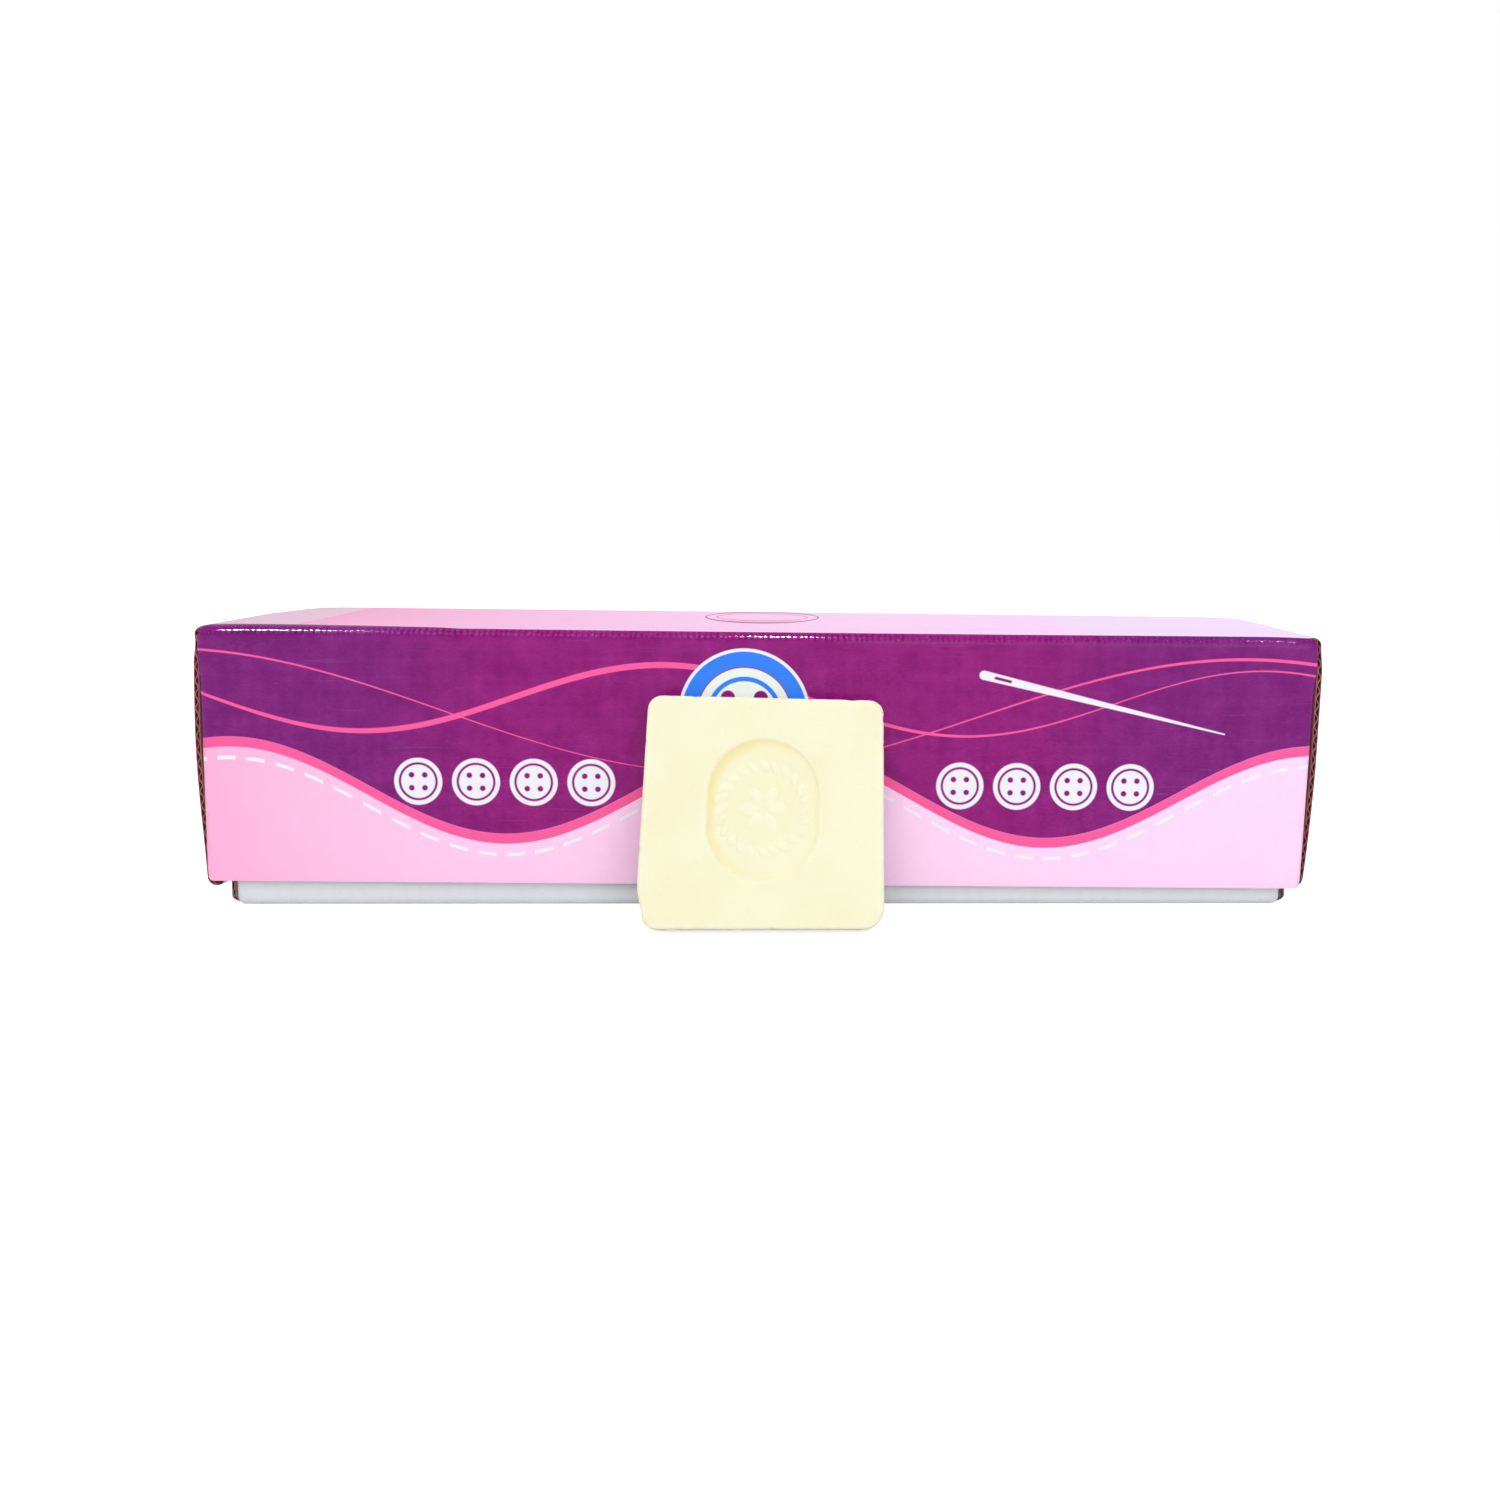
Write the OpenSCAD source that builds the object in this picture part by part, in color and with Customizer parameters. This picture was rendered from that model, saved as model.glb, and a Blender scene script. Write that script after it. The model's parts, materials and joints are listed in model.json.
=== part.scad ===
// Boxed tailor's chalk: a two-part folded carton that holds a row of square chalks standing
// face to face, with one chalk taken out and leaning on the front of the lid.
// Millimetres. The origin is the centre of the tray's underside, +X runs along the carton,
// -Y is its printed front and +Z is up.

/* [Chalk] */
// Width of a chalk
chalk_w = 50; // [30:0.5:80]
// Height of a chalk
chalk_h = 48; // [30:0.5:80]
// Thickness of a chalk
chalk_t = 6; // [4:0.1:12]
// Radius of a chalk's two upper corners
chalk_top_r = 3; // [1:0.1:8]
// Radius of the two corners at its foot
chalk_foot_r = 4.3; // [1:0.1:8]
// Width of the bevel round each face, measured on the face
bevel_w = 0.9; // [0.3:0.1:2]
// Depth of the bevel, measured through the thickness
bevel_d = 0.7; // [0.3:0.1:1.4]

/* [Recess] */
// Width of the oval recess in a chalk's face
oval_w = 23.4; // [10:0.1:26]
// Height of the oval recess
oval_h = 30; // [27:0.1:36]
// Width of the ledge inside the oval's rim
ledge_w = 0.7; // [0.2:0.1:2]
// Depth of the ledge below the face
ledge_depth = 0.3; // [0.1:0.05:0.5]
// Depth of the oval's floor below the face
oval_depth = 0.6; // [0.55:0.05:1]

/* [Row of chalks] */
// Count of chalks that the carton takes, with the one that leans outside
chalk_count = 36; // [6:1:48]
// Gap between neighbouring chalks, and under each chalk
chalk_gap = 0.1; // [0.05:0.05:0.5]
// Spare length at the end of the row
finger_room = 6.9; // [1:0.1:20]
// Play between a chalk and each long wall of the tray
row_side_play = 1.9; // [0.5:0.1:6]
// Height left free between the chalks and the rim of the tray
head_room = 8.1; // [3:0.1:20]

/* [Board] */
// Thickness of the corrugated board
board = 1.3; // [0.8:0.1:1.8]
// Outer radius of a fold
fold_r = 2; // [2:0.1:3.5]
// Gap between plies that lie on each other
ply_gap = 0.1; // [0.05:0.05:0.3]

/* [End walls] */
// How far the rolled end stands past the edge of the long walls
roll_rise = 1.4; // [0:0.1:2]
// Set-back of the end flap's raw edge from the long wall's face, at its fold
flap_inset = 0.7; // [0.5:0.1:1.8]
// Clearance between the roll's raw edge and the carton's corner folds
roll_clear = 0.5; // [0.3:0.1:3]
// Length of an ear, measured from the long wall's face
ear_l = 24; // [10:0.5:26]
// Size of the corner cut off the free end of each vertical fold
corner_cut = 1.3; // [0.3:0.1:1.8]
// Size of the relief cut where the tray's folds meet at the base
tray_relief = 2; // [0.5:0.1:3]
// Size of the relief cut where the lid's folds meet at its top
lid_relief = 0.9; // [0.5:0.1:3]
// Width of a locking tab on the tray's inner ply
tab_w = 12; // [6:0.5:16]
// Distance of a locking tab's middle from the carton's centre line
tab_offset = 13; // [10:0.5:16]

/* [Lid] */
// Play between the lid's long walls and the tray's
side_play = 0.5; // [0.2:0.1:2]
// Play between the lid's inner end plies and the tray's ends
end_play = 1; // [0.6:0.1:3]
// Sideways place of the lid's middle, within the play at its ends
lid_x = 0.5; // [-0.5:0.1:0.5]
// Height of the tray that shows below the lid, at mid length
skirt_show = 5.2; // [2:0.1:20]
// Degrees by which the lid lies askew, with its right end lower
lid_tilt = 0.45; // [0:0.05:0.6]
// Gap between the lid's underside and the rim that it rests on
rest_gap = 0.2; // [0.1:0.1:1]

/* [Chalk in front] */
// Distance of the chalk's foot from the lid's front
sample_foot = 15.6; // [6:0.1:30]
// Sideways place of the chalk's middle
sample_x = 0.9; // [-60:0.1:60]
// Gap between the chalk and the lid's front
lean_gap = 0.3; // [0.1:0.1:1]

/* [Hidden] */
fold_steps = 6;
round_fn = 48;
corner_steps = 8;
cut_past = 1;

// Three plies lie together in an end wall, so the roll's radius is half of their stack.
end_stack = 3 * board + 2 * ply_gap;
roll_r = end_stack / 2;
flap_out = ply_gap + board;
fold_lap = board / 2;
inner_in = 2 * board + ply_gap;

row_pitch = chalk_t + chalk_gap;
row_filled = chalk_count - 1;
inner_l = chalk_count * row_pitch + finger_room;
inner_d = chalk_w + 2 * row_side_play;

tray_w = inner_l + 2 * inner_in;
tray_d = inner_d + 2 * board;
tray_wall_h = board + chalk_gap + chalk_h + head_room;
tray_end_x = tray_w / 2 + flap_out;

lid_w = 2 * (tray_end_x + end_play + inner_in);
lid_d = tray_d + 2 * (side_play + board);
rest_x = tray_end_x * tan(lid_tilt);
lid_top = tray_wall_h + roll_rise + rest_gap + rest_x + board / cos(lid_tilt);
lid_wall_h = lid_top - skirt_show;

lean = asin((sample_foot - lean_gap) / (chalk_h - bevel_w));

function chalk_name(place) = str("chalk_", place < 10 ? "0" : "", place);

// Points of an arc about a centre, from one angle to another
function arc(centre, radius, from, to, steps = fold_steps) = [
    for (i = [0 : steps])
        let (a = from + (to - from) * i / steps)
        centre + radius * [cos(a), sin(a)]
];

// Cross-section of the base and the two long walls, with y along the depth
module channel_outline(depth, wall_h) {
    near = -depth / 2;
    far = depth / 2;
    inner_r = fold_r - board;
    polygon(concat(
        [[near, wall_h]],
        arc([near + fold_r, fold_r], fold_r, 180, 270),
        arc([far - fold_r, fold_r], fold_r, 270, 360),
        [[far, wall_h], [far - board, wall_h]],
        arc([far - fold_r, fold_r], inner_r, 360, 270),
        arc([near + fold_r, fold_r], inner_r, 270, 180),
        [[near + board, wall_h]]
    ));
}

// Cross-section of an end wall from its fold at the base, up the outer ply, over the roll and
// down the inner ply. x is the distance from the carton's middle.
module end_outline(front_w, end_h, foot) {
    out = front_w / 2 + flap_out;
    roll = [out - roll_r, end_h - roll_r];
    fold = [out - fold_r, fold_r];
    root = fold[0] - fold_lap;
    polygon(concat(
        [[root, 0]],
        arc(fold, fold_r, 270, 360),
        arc(roll, roll_r, 0, 180, 2 * fold_steps),
        [[out - end_stack, foot], [out - end_stack + board, foot]],
        arc(roll, roll_r - board, 180, 0, 2 * fold_steps),
        arc(fold, fold_r - board, 360, 270),
        [[root, board]]
    ));
}

// Side view of an end flap: its raw edges draw in towards the roll
module flap_outline(depth, end_h) {
    root = depth / 2 - flap_inset;
    tip = depth / 2 - fold_r - fold_lap - roll_clear;
    polygon([[-root, -cut_past], [-root, 0], [-tip, end_h + cut_past], [tip, end_h + cut_past],
             [root, 0], [root, -cut_past]]);
}

// Lays an outline drawn in y and z across the carton, from x = 0 over a length
module across(length) {
    rotate([90, 0, 90])
        linear_extrude(height = length)
            children();
}

// Lays an outline drawn in x and z along the depth, centred on y = 0
module along(length) {
    rotate([90, 0, 0])
        linear_extrude(height = length, center = true)
            children();
}

// One rolled end wall at the +X end, its inner ply trimmed clear of the corner folds
module end_wall(front_w, depth, end_h) {
    trim_y = depth / 2 - fold_r;
    trim_w = fold_r;
    difference() {
        intersection() {
            along(depth)
                end_outline(front_w, end_h, board + ply_gap);
            across(front_w)
                flap_outline(depth, end_h);
        }
        for (side = [-1, 1])
            translate([front_w / 2 - end_stack, side * (trim_y + trim_w / 2), board])
                linear_extrude(height = end_h)
                    square([2 * (end_stack - fold_lap), trim_w], center = true);
    }
}

// Outline of an ear in y and z: it narrows away from its fold so that it slips between the plies
module ear_outline(depth, ear_top) {
    fold_y = -depth / 2 + fold_r;
    tip_y = -depth / 2 + ear_l;
    draw_in = (tip_y - fold_y) / 8;
    polygon([[fold_y, fold_r], [tip_y - draw_in, fold_r + draw_in], [tip_y, fold_r + 2 * draw_in],
             [tip_y, ear_top - 2 * draw_in], [tip_y - draw_in, ear_top - draw_in], [fold_y, ear_top]]);
}

// Plan of the vertical fold at -Y, +X, lapped into the wall and the ear that it joins
module corner_outline(front_w, depth) {
    fold = [front_w / 2 - fold_r, -depth / 2 + fold_r];
    polygon(concat(
        [[fold[0] - fold_lap, -depth / 2]],
        arc(fold, fold_r, 270, 360),
        [[front_w / 2, fold[1] + fold_lap], [front_w / 2 - board, fold[1] + fold_lap]],
        arc(fold, fold_r - board, 360, 270),
        [[fold[0] - fold_lap, -depth / 2 + board]]
    ));
}

// Side view of a half without its hollow, which rounds the foot of the vertical folds
module side_outline(depth, wall_h) {
    near = -depth / 2;
    far = depth / 2;
    polygon(concat(
        [[near, wall_h]],
        arc([near + fold_r, fold_r], fold_r, 180, 270),
        arc([far - fold_r, fold_r], fold_r, 270, 360),
        [[far, wall_h]]
    ));
}

// Front view of a long wall, with the corners cut off at its base and at its free edge
module front_outline(front_w, wall_h, relief) {
    side = front_w / 2;
    polygon([[-side, relief], [relief - side, 0], [side - relief, 0], [side, relief],
             [side, wall_h - corner_cut], [side - corner_cut, wall_h],
             [corner_cut - side, wall_h], [-side, wall_h - corner_cut]]);
}

// One corner at -Y, +X: the long wall turns through a vertical fold into its ear
module corner_and_ear(front_w, depth, wall_h, relief) {
    intersection() {
        linear_extrude(height = wall_h)
            corner_outline(front_w, depth);
        across(front_w)
            side_outline(depth, wall_h);
        along(2 * depth)
            front_outline(front_w, wall_h, relief);
    }
    translate([front_w / 2 - board, 0, 0])
        across(board)
            ear_outline(depth, wall_h + roll_rise - roll_r - ply_gap);
}

// One half of the carton as folded from its sheet, standing open side up on its base
module folded_half(front_w, depth, wall_h, relief) {
    channel_l = front_w - 2 * fold_r;
    base_l = front_w + 2 * (flap_out - fold_r);
    translate([-channel_l / 2, 0, 0])
        across(channel_l)
            channel_outline(depth, wall_h);
    translate([-base_l / 2, 0, 0])
        across(base_l)
            translate([fold_r - depth / 2, 0])
                square([depth - 2 * fold_r, board]);
    for (end = [0, 1])
        mirror([end, 0, 0]) {
            end_wall(front_w, depth, wall_h + roll_rise);
            for (side = [0, 1])
                mirror([0, side, 0])
                    corner_and_ear(front_w, depth, wall_h, relief);
        }
}

// The places of the four locking tabs, in the inner plies' own thickness
module at_tabs() {
    for (end = [-1, 1])
        for (side = [-1, 1])
            translate([end * (inner_l / 2 + board / 2), side * tab_offset, 0])
                children();
}

// Tray: a folded half whose inner end plies lock into slots in the base
module tray() {
    color("whitesmoke") {
        difference() {
            folded_half(tray_w, tray_d, tray_wall_h, tray_relief);
            at_tabs()
                cube([board + 2 * ply_gap, tab_w + 4 * ply_gap, 2 * (board + ply_gap)], center = true);
        }
        at_tabs()
            translate([0, 0, ply_gap])
                linear_extrude(height = board + 2 * fold_r)
                    square([board, tab_w], center = true);
    }
}

// Lid: a folded half turned over the tray, lying askew on its rim
module lid() {
    color([0.56, 0.19, 0.51])
        translate([lid_x, 0, lid_top])
            rotate([0, lid_tilt, 0])
                rotate([180, 0, 0])
                    folded_half(lid_w, lid_d, lid_wall_h, lid_relief);
}

// Front view of a chalk: a square with round corners, its foot at y = 0
module chalk_outline() {
    side = chalk_w / 2;
    foot_y = chalk_foot_r;
    top_y = chalk_h - chalk_top_r;
    polygon(concat(
        arc([side - chalk_foot_r, foot_y], chalk_foot_r, 270, 360, corner_steps),
        arc([side - chalk_top_r, top_y], chalk_top_r, 0, 90, corner_steps),
        arc([chalk_top_r - side, top_y], chalk_top_r, 90, 180, corner_steps),
        arc([chalk_foot_r - side, foot_y], chalk_foot_r, 180, 270, corner_steps)
    ));
}

// Edge view of a chalk along one of its sides: a slab with all four corners bevelled
module bevelled_slab(length) {
    polygon([[0, bevel_d], [bevel_w, 0], [length - bevel_w, 0], [length, bevel_d],
             [length, chalk_t - bevel_d], [length - bevel_w, chalk_t], [bevel_w, chalk_t],
             [0, chalk_t - bevel_d]]);
}

// The recess's outline, drawn in from the rim by an amount
module oval(drawn_in) {
    oval_r = oval_w / 2 - drawn_in;
    reach = (oval_h - oval_w) / 2;
    for (end = [-1, 1])
        translate([0, chalk_h / 2 + end * reach])
            circle(r = oval_r, $fn = round_fn);
    translate([-oval_r, chalk_h / 2 - reach])
        square([2 * oval_r, 2 * reach]);
}

// A chalk standing on its foot, with its back at y = 0 and its face towards -Y
module chalk() {
    color([0.97, 0.96, 0.83])
        difference() {
            intersection() {
                rotate([90, 0, 0])
                    linear_extrude(height = chalk_t)
                        chalk_outline();
                translate([-chalk_w / 2, -chalk_t, -cut_past])
                    linear_extrude(height = chalk_h + 2 * cut_past)
                        bevelled_slab(chalk_w);
                translate([-chalk_w, -chalk_t, 0])
                    rotate([90, 0, 90])
                        linear_extrude(height = 2 * chalk_w)
                            mirror([1, -1])
                                bevelled_slab(chalk_h);
            }
            translate([0, ledge_depth - chalk_t, 0])
                rotate([90, 0, 0])
                    linear_extrude(height = ledge_depth + cut_past)
                        oval(0);
            translate([0, oval_depth - chalk_t, 0])
                rotate([90, 0, 0])
                    linear_extrude(height = oval_depth + cut_past)
                        oval(ledge_w);
        }
}

// The chalk in front: its foot on the ground and its back's top edge just off the lid
module sample_chalk() {
    translate([sample_x, -lid_d / 2 - sample_foot, -bevel_d * sin(lean)])
        rotate([-lean, 0, 0])
            chalk();
}

// A chalk in its place in the row, counted from the left end, facing right
module row_chalk(place) {
    translate([-inner_l / 2 + chalk_gap + (place - 1) * row_pitch, 0, board + chalk_gap])
        rotate([0, 0, 90])
            chalk();
}

tray();
lid();
sample_chalk();
for (place = [1 : row_filled])
    row_chalk(place);
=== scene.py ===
import json
import math

import bmesh
import bpy
import numpy as np
from mathutils import Matrix, Vector, noise


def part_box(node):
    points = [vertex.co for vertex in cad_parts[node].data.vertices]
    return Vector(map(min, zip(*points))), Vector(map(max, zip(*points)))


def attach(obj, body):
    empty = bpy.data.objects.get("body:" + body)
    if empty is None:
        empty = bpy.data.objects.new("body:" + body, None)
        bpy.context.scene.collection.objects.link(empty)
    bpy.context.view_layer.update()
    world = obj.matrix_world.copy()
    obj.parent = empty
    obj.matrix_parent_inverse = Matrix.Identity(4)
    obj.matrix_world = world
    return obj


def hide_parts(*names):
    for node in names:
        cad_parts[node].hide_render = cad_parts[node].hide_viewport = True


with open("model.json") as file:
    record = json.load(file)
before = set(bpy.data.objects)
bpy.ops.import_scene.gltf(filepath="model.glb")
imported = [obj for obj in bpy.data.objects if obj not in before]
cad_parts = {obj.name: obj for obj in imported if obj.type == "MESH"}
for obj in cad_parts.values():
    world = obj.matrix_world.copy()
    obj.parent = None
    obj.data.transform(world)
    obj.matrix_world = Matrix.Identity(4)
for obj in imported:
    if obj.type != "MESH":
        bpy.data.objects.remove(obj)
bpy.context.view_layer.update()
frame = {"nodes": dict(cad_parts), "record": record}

MM = 0.001

# Corrugated board, folded as the carton's halves are
BOARD = 1.3 * MM
LINER = 0.2 * MM
MEDIUM = 0.18 * MM
FLUTE_PITCH = 3.1 * MM
FOLD_R = 2 * MM
PLY_GAP = 0.1 * MM
ROLL_RISE = 1.4 * MM
FLAP_INSET = 0.7 * MM
FLAP_TIP_INSET = 3.15 * MM
EAR_L = 24 * MM
EAR_TAPER = 1 / 8
EAR_TIP_SLOPE = 0.85
CORNER_CUT = 1.3 * MM
TAB_W = 12 * MM
TAB_OFFSET = 13 * MM
WALL_BOW = 0.15 * MM

# Points this close are one, and a ply this far off is another
SAME_POINT = 0.002 * MM
CLOSE = 0.02 * MM

# A raw edge, which the cutting die has pressed thinner, and a distance from it at which the board is whole
CRUSH = 0.5 * MM
LID_CRUSH = 0.15 * MM
CRUSH_REACH = 1.8 * MM
EDGE_ROWS = tuple(v * MM for v in (0, 0.35, 0.8, 1.3, 1.8))
FLUTE_ROWS = EDGE_ROWS + (5 * MM,)
WHOLE = 10 * MM

# A used corner: its end flap is narrow between two heights, and its board puffs out
NECK_SPAN = (2 * MM, 8 * MM)
NECK_HALF_IN = 0.3 * MM
CORNER_PUFF = 0.4 * MM
PUFF_UP = 5.5 * MM
PUFF_RISE = 4.5 * MM
PUFF_SPAN_X = (6 * MM, 1 * MM)
PUFF_SPAN_Y = (0.6 * MM, -0.4 * MM)

# How far the used lid has gone from its crisp shape, and between which distances from its end or top
FRONT_SAG = 0.2 * MM
SAG_HEIGHT = 22 * MM
SHIFT_SPAN = (40 * MM, 4 * MM)
LEFT_WALL_OUT = 0.45 * MM
LEFT_WALL_SPAN = (12 * MM, 4 * MM)
LEFT_BULGE = 0.95 * MM
LEFT_BULGE_HEIGHTS = (0.3 * MM, 6 * MM)
RIGHT_WALL_IN = 0.024
RIGHT_WALL_FROM = 5 * MM
RIGHT_END_IN = 1.2 * MM
RIGHT_END_FROM = 28 * MM
RIGHT_END_RISE = 27 * MM
ROLL_EDGE = 1.4 * MM
ROLL_SPAN = (9 * MM, 4 * MM)
RIGHT_ROLL_UP = 0.9 * MM
LEFT_ROLL_DOWN = 0.6 * MM

# Where the front's sag and the back's droop come in, as shares of half the depth
FRONT_SHARES = (-0.3, 0.6)
BACK_SHARES = (0.2, 0.9)

# How far its base has sunk near its ends, and between which distances from them
LEFT_DROOP = (0.1 * MM, 14 * MM, 1 * MM)
BACK_DROOP = (0.45 * MM, 11 * MM, 1 * MM)
CORNER_DROOP = (0.35 * MM, 4.5 * MM, 0)
RIGHT_DROOP = (0.25 * MM, 12 * MM, 2 * MM)

# How finely the sheets are laid out
FOLD_STEPS = 8
PANEL_STEP = 5 * MM
EAR_STEP = 3 * MM
NECK_STEP = 1 * MM
WALL_ROWS = 16
WALL_CROWDING = 1.6
FLUTE_STEPS = 10
LID_CORNER_REACH = FOLD_STEPS * 3 // 2

# A pressed chalk
CHALK_W = 50 * MM
CHALK_H = 48 * MM
CHALK_T = 6 * MM
CHALK_TOP_R = 3.0 * MM
CHALK_FOOT_R = 4.3 * MM
BEVEL_W = 0.9 * MM
BEVEL_D = 0.7 * MM
OVAL_W = 23.0 * MM
OVAL_H = 29.2 * MM
OVAL_UP = 0.5 * MM
RECESS_D = 0.6 * MM
BEAD_SUNK = 0.2 * MM

# Divisions round a chalk, and rows over its faces
FINE_CHALK = (288, 12)
ROW_CHALK = (96, 4)
BEVEL_STEPS = 4
OUTLINE_STEPS = 4000
BACK_HUB, BACK_REACH, FLOOR_HUB = 0.08, 0.9, 0.06
BRIM_OUT = 0.3 * MM

# The recess's wall in profile: millimetres out from the oval, and how much of the depth is reached
RECESS_WALL = ((0.5, 0.01), (0.26, 0.06), (0.08, 0.19), (-0.08, 0.4), (-0.24, 0.62),
               (-0.44, 0.81), (-0.72, 0.93), (-1.05, 0.98), (-1.5, 1.0))

# Between which distances inside the oval the recess's painted shade, laid on in yellow, comes in, and goes
# out again
RECESS_SHADE_IN = (-0.4 * MM, 0.5 * MM)
RECESS_SHADE_OUT = (0.6 * MM, 2.6 * MM)

# Wear of a chalk. A chip has its bumps in a millimetre, the level at which it starts, and its depth.
CHIPS = ((0.42, 0.34, 1.0), (1.3, 0.36, 0.5))
WEAR_REACH = 2 * MM
EDGE_RUB = 0.05
DENT = 0.1 * MM
DENT_REACH = 4 * MM
DENT_BUMPS = 0.11
DENT_PLACE = Vector((7, 3, 1))
EDGE_REACH = 1.2 * MM

# The chalk in front out of true, in millimetres: a wide foot, a high left side, a rubbed lower left corner
FOOT_WIDER, NARROWING = 1.031, 0.029
FOOT_SHIFT, SHIFTING = -0.47, 0.91
TOP_UP, LEFT_UP = 0.55, 0.022
CORNER_RUB, CORNER_UP, CORNER_SPREAD = 1.1, 3.2, 12
LEANS_LESS = math.radians(0.4)

# The relief in its recess
ROPE = dict(Count=24, Radius=8.9 * MM, Twist=0.6)
ROPE_BEAD = dict(Bead_Length=3.6 * MM, Bead_Width=1.9 * MM, Bead_Height=0.6 * MM)
ROSETTE = dict(Count=6, Radius=3.1 * MM, Twist=0.0)
ROSETTE_BEAD = dict(Bead_Length=5.0 * MM, Bead_Width=2.9 * MM, Bead_Height=0.54 * MM)

# Colours of the inks, boards and chalk, as red, green and blue out of 255
PURPLE = (140, 13, 117)
PURPLE_AT_ENDS = (122, 20, 118)
PINK_AT_LEFT = (253, 178, 217)
PINK_AT_RIGHT = (253, 214, 246)
ROSE = (246, 92, 158)
STITCH_WHITE = (238, 236, 246)
BUTTON_BLUE = (48, 128, 244)
BUTTON_CREAM = (232, 240, 236)
COATED_WHITE = (216, 221, 226)
KRAFT = (190, 142, 106)
TOP_PINK_AT_LEFT = (238, 142, 186)
TOP_PINK_AT_RIGHT = (249, 208, 248)
# The top's left end is a painted sheen, grey from light lying on it
TOP_LEFT_SHEEN = (216, 190, 206)
TOP_END_RIGHT = (242, 222, 254)
OVAL_GREY = (140, 104, 124)
RAW_EDGE = (150, 76, 80)
FLUTE_BROWN = (160, 88, 88)
TRAY_RAW_EDGE = (122, 104, 106)
TRAY_FLUTE = (140, 116, 112)
CHALK_CREAM = (238, 237, 207)
# CHALK_YELLOW is the chalk's own faint clouds, and the colour of the painted shade in its recess
CHALK_YELLOW = (233, 221, 160)
CHALK_POWDER = (254, 252, 238)

# The print on the lid's sides, in millimetres from the middle of a side's foot
PRINT_EDGE = 0.25
HEM_PITCH = 118
HEM_RISE = 10.5
HEM_MIDDLE = 21.5
HEM_SHIFT = 3.0
HEM_BORDER = 2.2
STITCH_PITCH = 6.2
STITCH_L = 3.9
STITCH_W = 0.84
STITCH_IN = 4.6
NEEDLE = (48, 47), (101, 34.5)
NEEDLE_EYE = (50.6, 46.4), (53.8, 45.63)
NEEDLE_EYE_R = 0.32
BUTTON_ROWS = -56, 62
BUTTON_PITCH = 12.5
BUTTON_UP = 22.5
BUTTON_R = 5.2
BUTTON_HOLE = 0.62
BIG_BUTTON = -4.0, 38.0
BIG_BUTTON_R = 13.6
BIG_BUTTON_HOLE = 1.55
BIG_BUTTON_RIM = 0.7
BIG_BUTTON_FACE = 0.74

# A button's ring and the ring's line as shares of its radius, and its holes' places as a share of theirs
RING_SHARE = 0.76
LINE_SHARE = 0.05
HOLES_APART = 2.3

# Threads in the print: middle height, rise, length of a wave, where the wave starts, and width
THREADS = ((41, 7.5, 131, 2.6, 1.1), (38, 13, 233, 5.0, 0.8))

# The print on the lid's top: its field's middle and half length, and its oval
TOP_FIELD = -16 * MM, 86 * MM
TOP_OVAL = -1.9, 10.5
PURPLE_LAP = 4.5 * MM
LAP_TO, LAP_SOFT = -75 * MM, 60 * MM
CRACK_PITCH = 1.25 * MM

# The oval's rings, in millimetres: half width, half depth, thickness at the ends and in front, and colour
TOP_RINGS = ((13.9, 18.4, 0.4, 3.2, OVAL_GREY), (11.2, 12.6, 0.3, 2.2, ROSE))

# The studio, in metres and watts. A lamp has a place, a size and a power. A glow is seen but gives no light.
SOFT_LAMPS = {
    "softbox": ((-0.3, -1.3, 1.2), (0.9, 0.9), 7.5),
    "fill": ((0.4, -1.2, 0.3), (0.8, 0.8), 5.0),
    "overhead": ((-0.2, 0.5, 1.6), (1.2, 1.2), 9.0),
}
GLINT_LAMPS = {
    "glint_left": ((-0.70, -0.80, 1.32), (0.14, 0.35), 70.0),
    "glint_middle": ((-0.03, -0.95, 1.2), (0.08, 0.35), 36.0),
    "glint_right": ((0.65, -0.95, 1.2), (0.03, 0.3), 6.0),
}
LAMP_AIM = Vector((0, 0, 0.03))
FLOOR_REACH = 4.0
FLOOR_GREY = 0.8
FLOOR_GLOW = 0.65
WORLD_LIGHT = 0.55
WORLD_GLOW = 0.45
WHITE = (1, 1, 1, 1)


def ink(rgb):
    """A colour out of 255 as the linear colour that a shader takes."""
    shares = [v / 255 for v in rgb]
    return *(c / 12.92 if c <= 0.04045 else ((c + 0.055) / 1.055) ** 2.4 for c in shares), 1


# The camera, solved from the photograph's edges
PHOTO = 1500
FOCAL_PX = 1362.6
CENTRE_PX = (845.6, 669.3)
SENSOR = 36
EYE = Vector((12.64, -323.32, 86.15)) * MM
YAW, PITCH, ROLL = math.radians(1.109), math.radians(6.437), math.radians(0.274)


def set_camera():
    """The camera, turned by its yaw, pitch and roll from a level look along Y."""
    data = bpy.data.cameras.new("camera")
    data.sensor_width = SENSOR
    data.lens = SENSOR * FOCAL_PX / PHOTO
    data.shift_x = 0.5 - CENTRE_PX[0] / PHOTO
    data.shift_y = CENTRE_PX[1] / PHOTO - 0.5
    data.clip_start = 10 * MM
    forward = Vector((math.sin(YAW) * math.cos(PITCH), math.cos(YAW) * math.cos(PITCH), -math.sin(PITCH)))
    level = Vector((math.cos(YAW), -math.sin(YAW), 0))
    above = level.cross(forward)
    right = level * math.cos(ROLL) + above * math.sin(ROLL)
    up = right.cross(forward)
    camera = link("camera", data)
    camera.matrix_world = Matrix.Translation(EYE) @ Matrix((right, up, -forward)).transposed().to_4x4()
    bpy.context.scene.camera = camera


# Shader nodes

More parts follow.
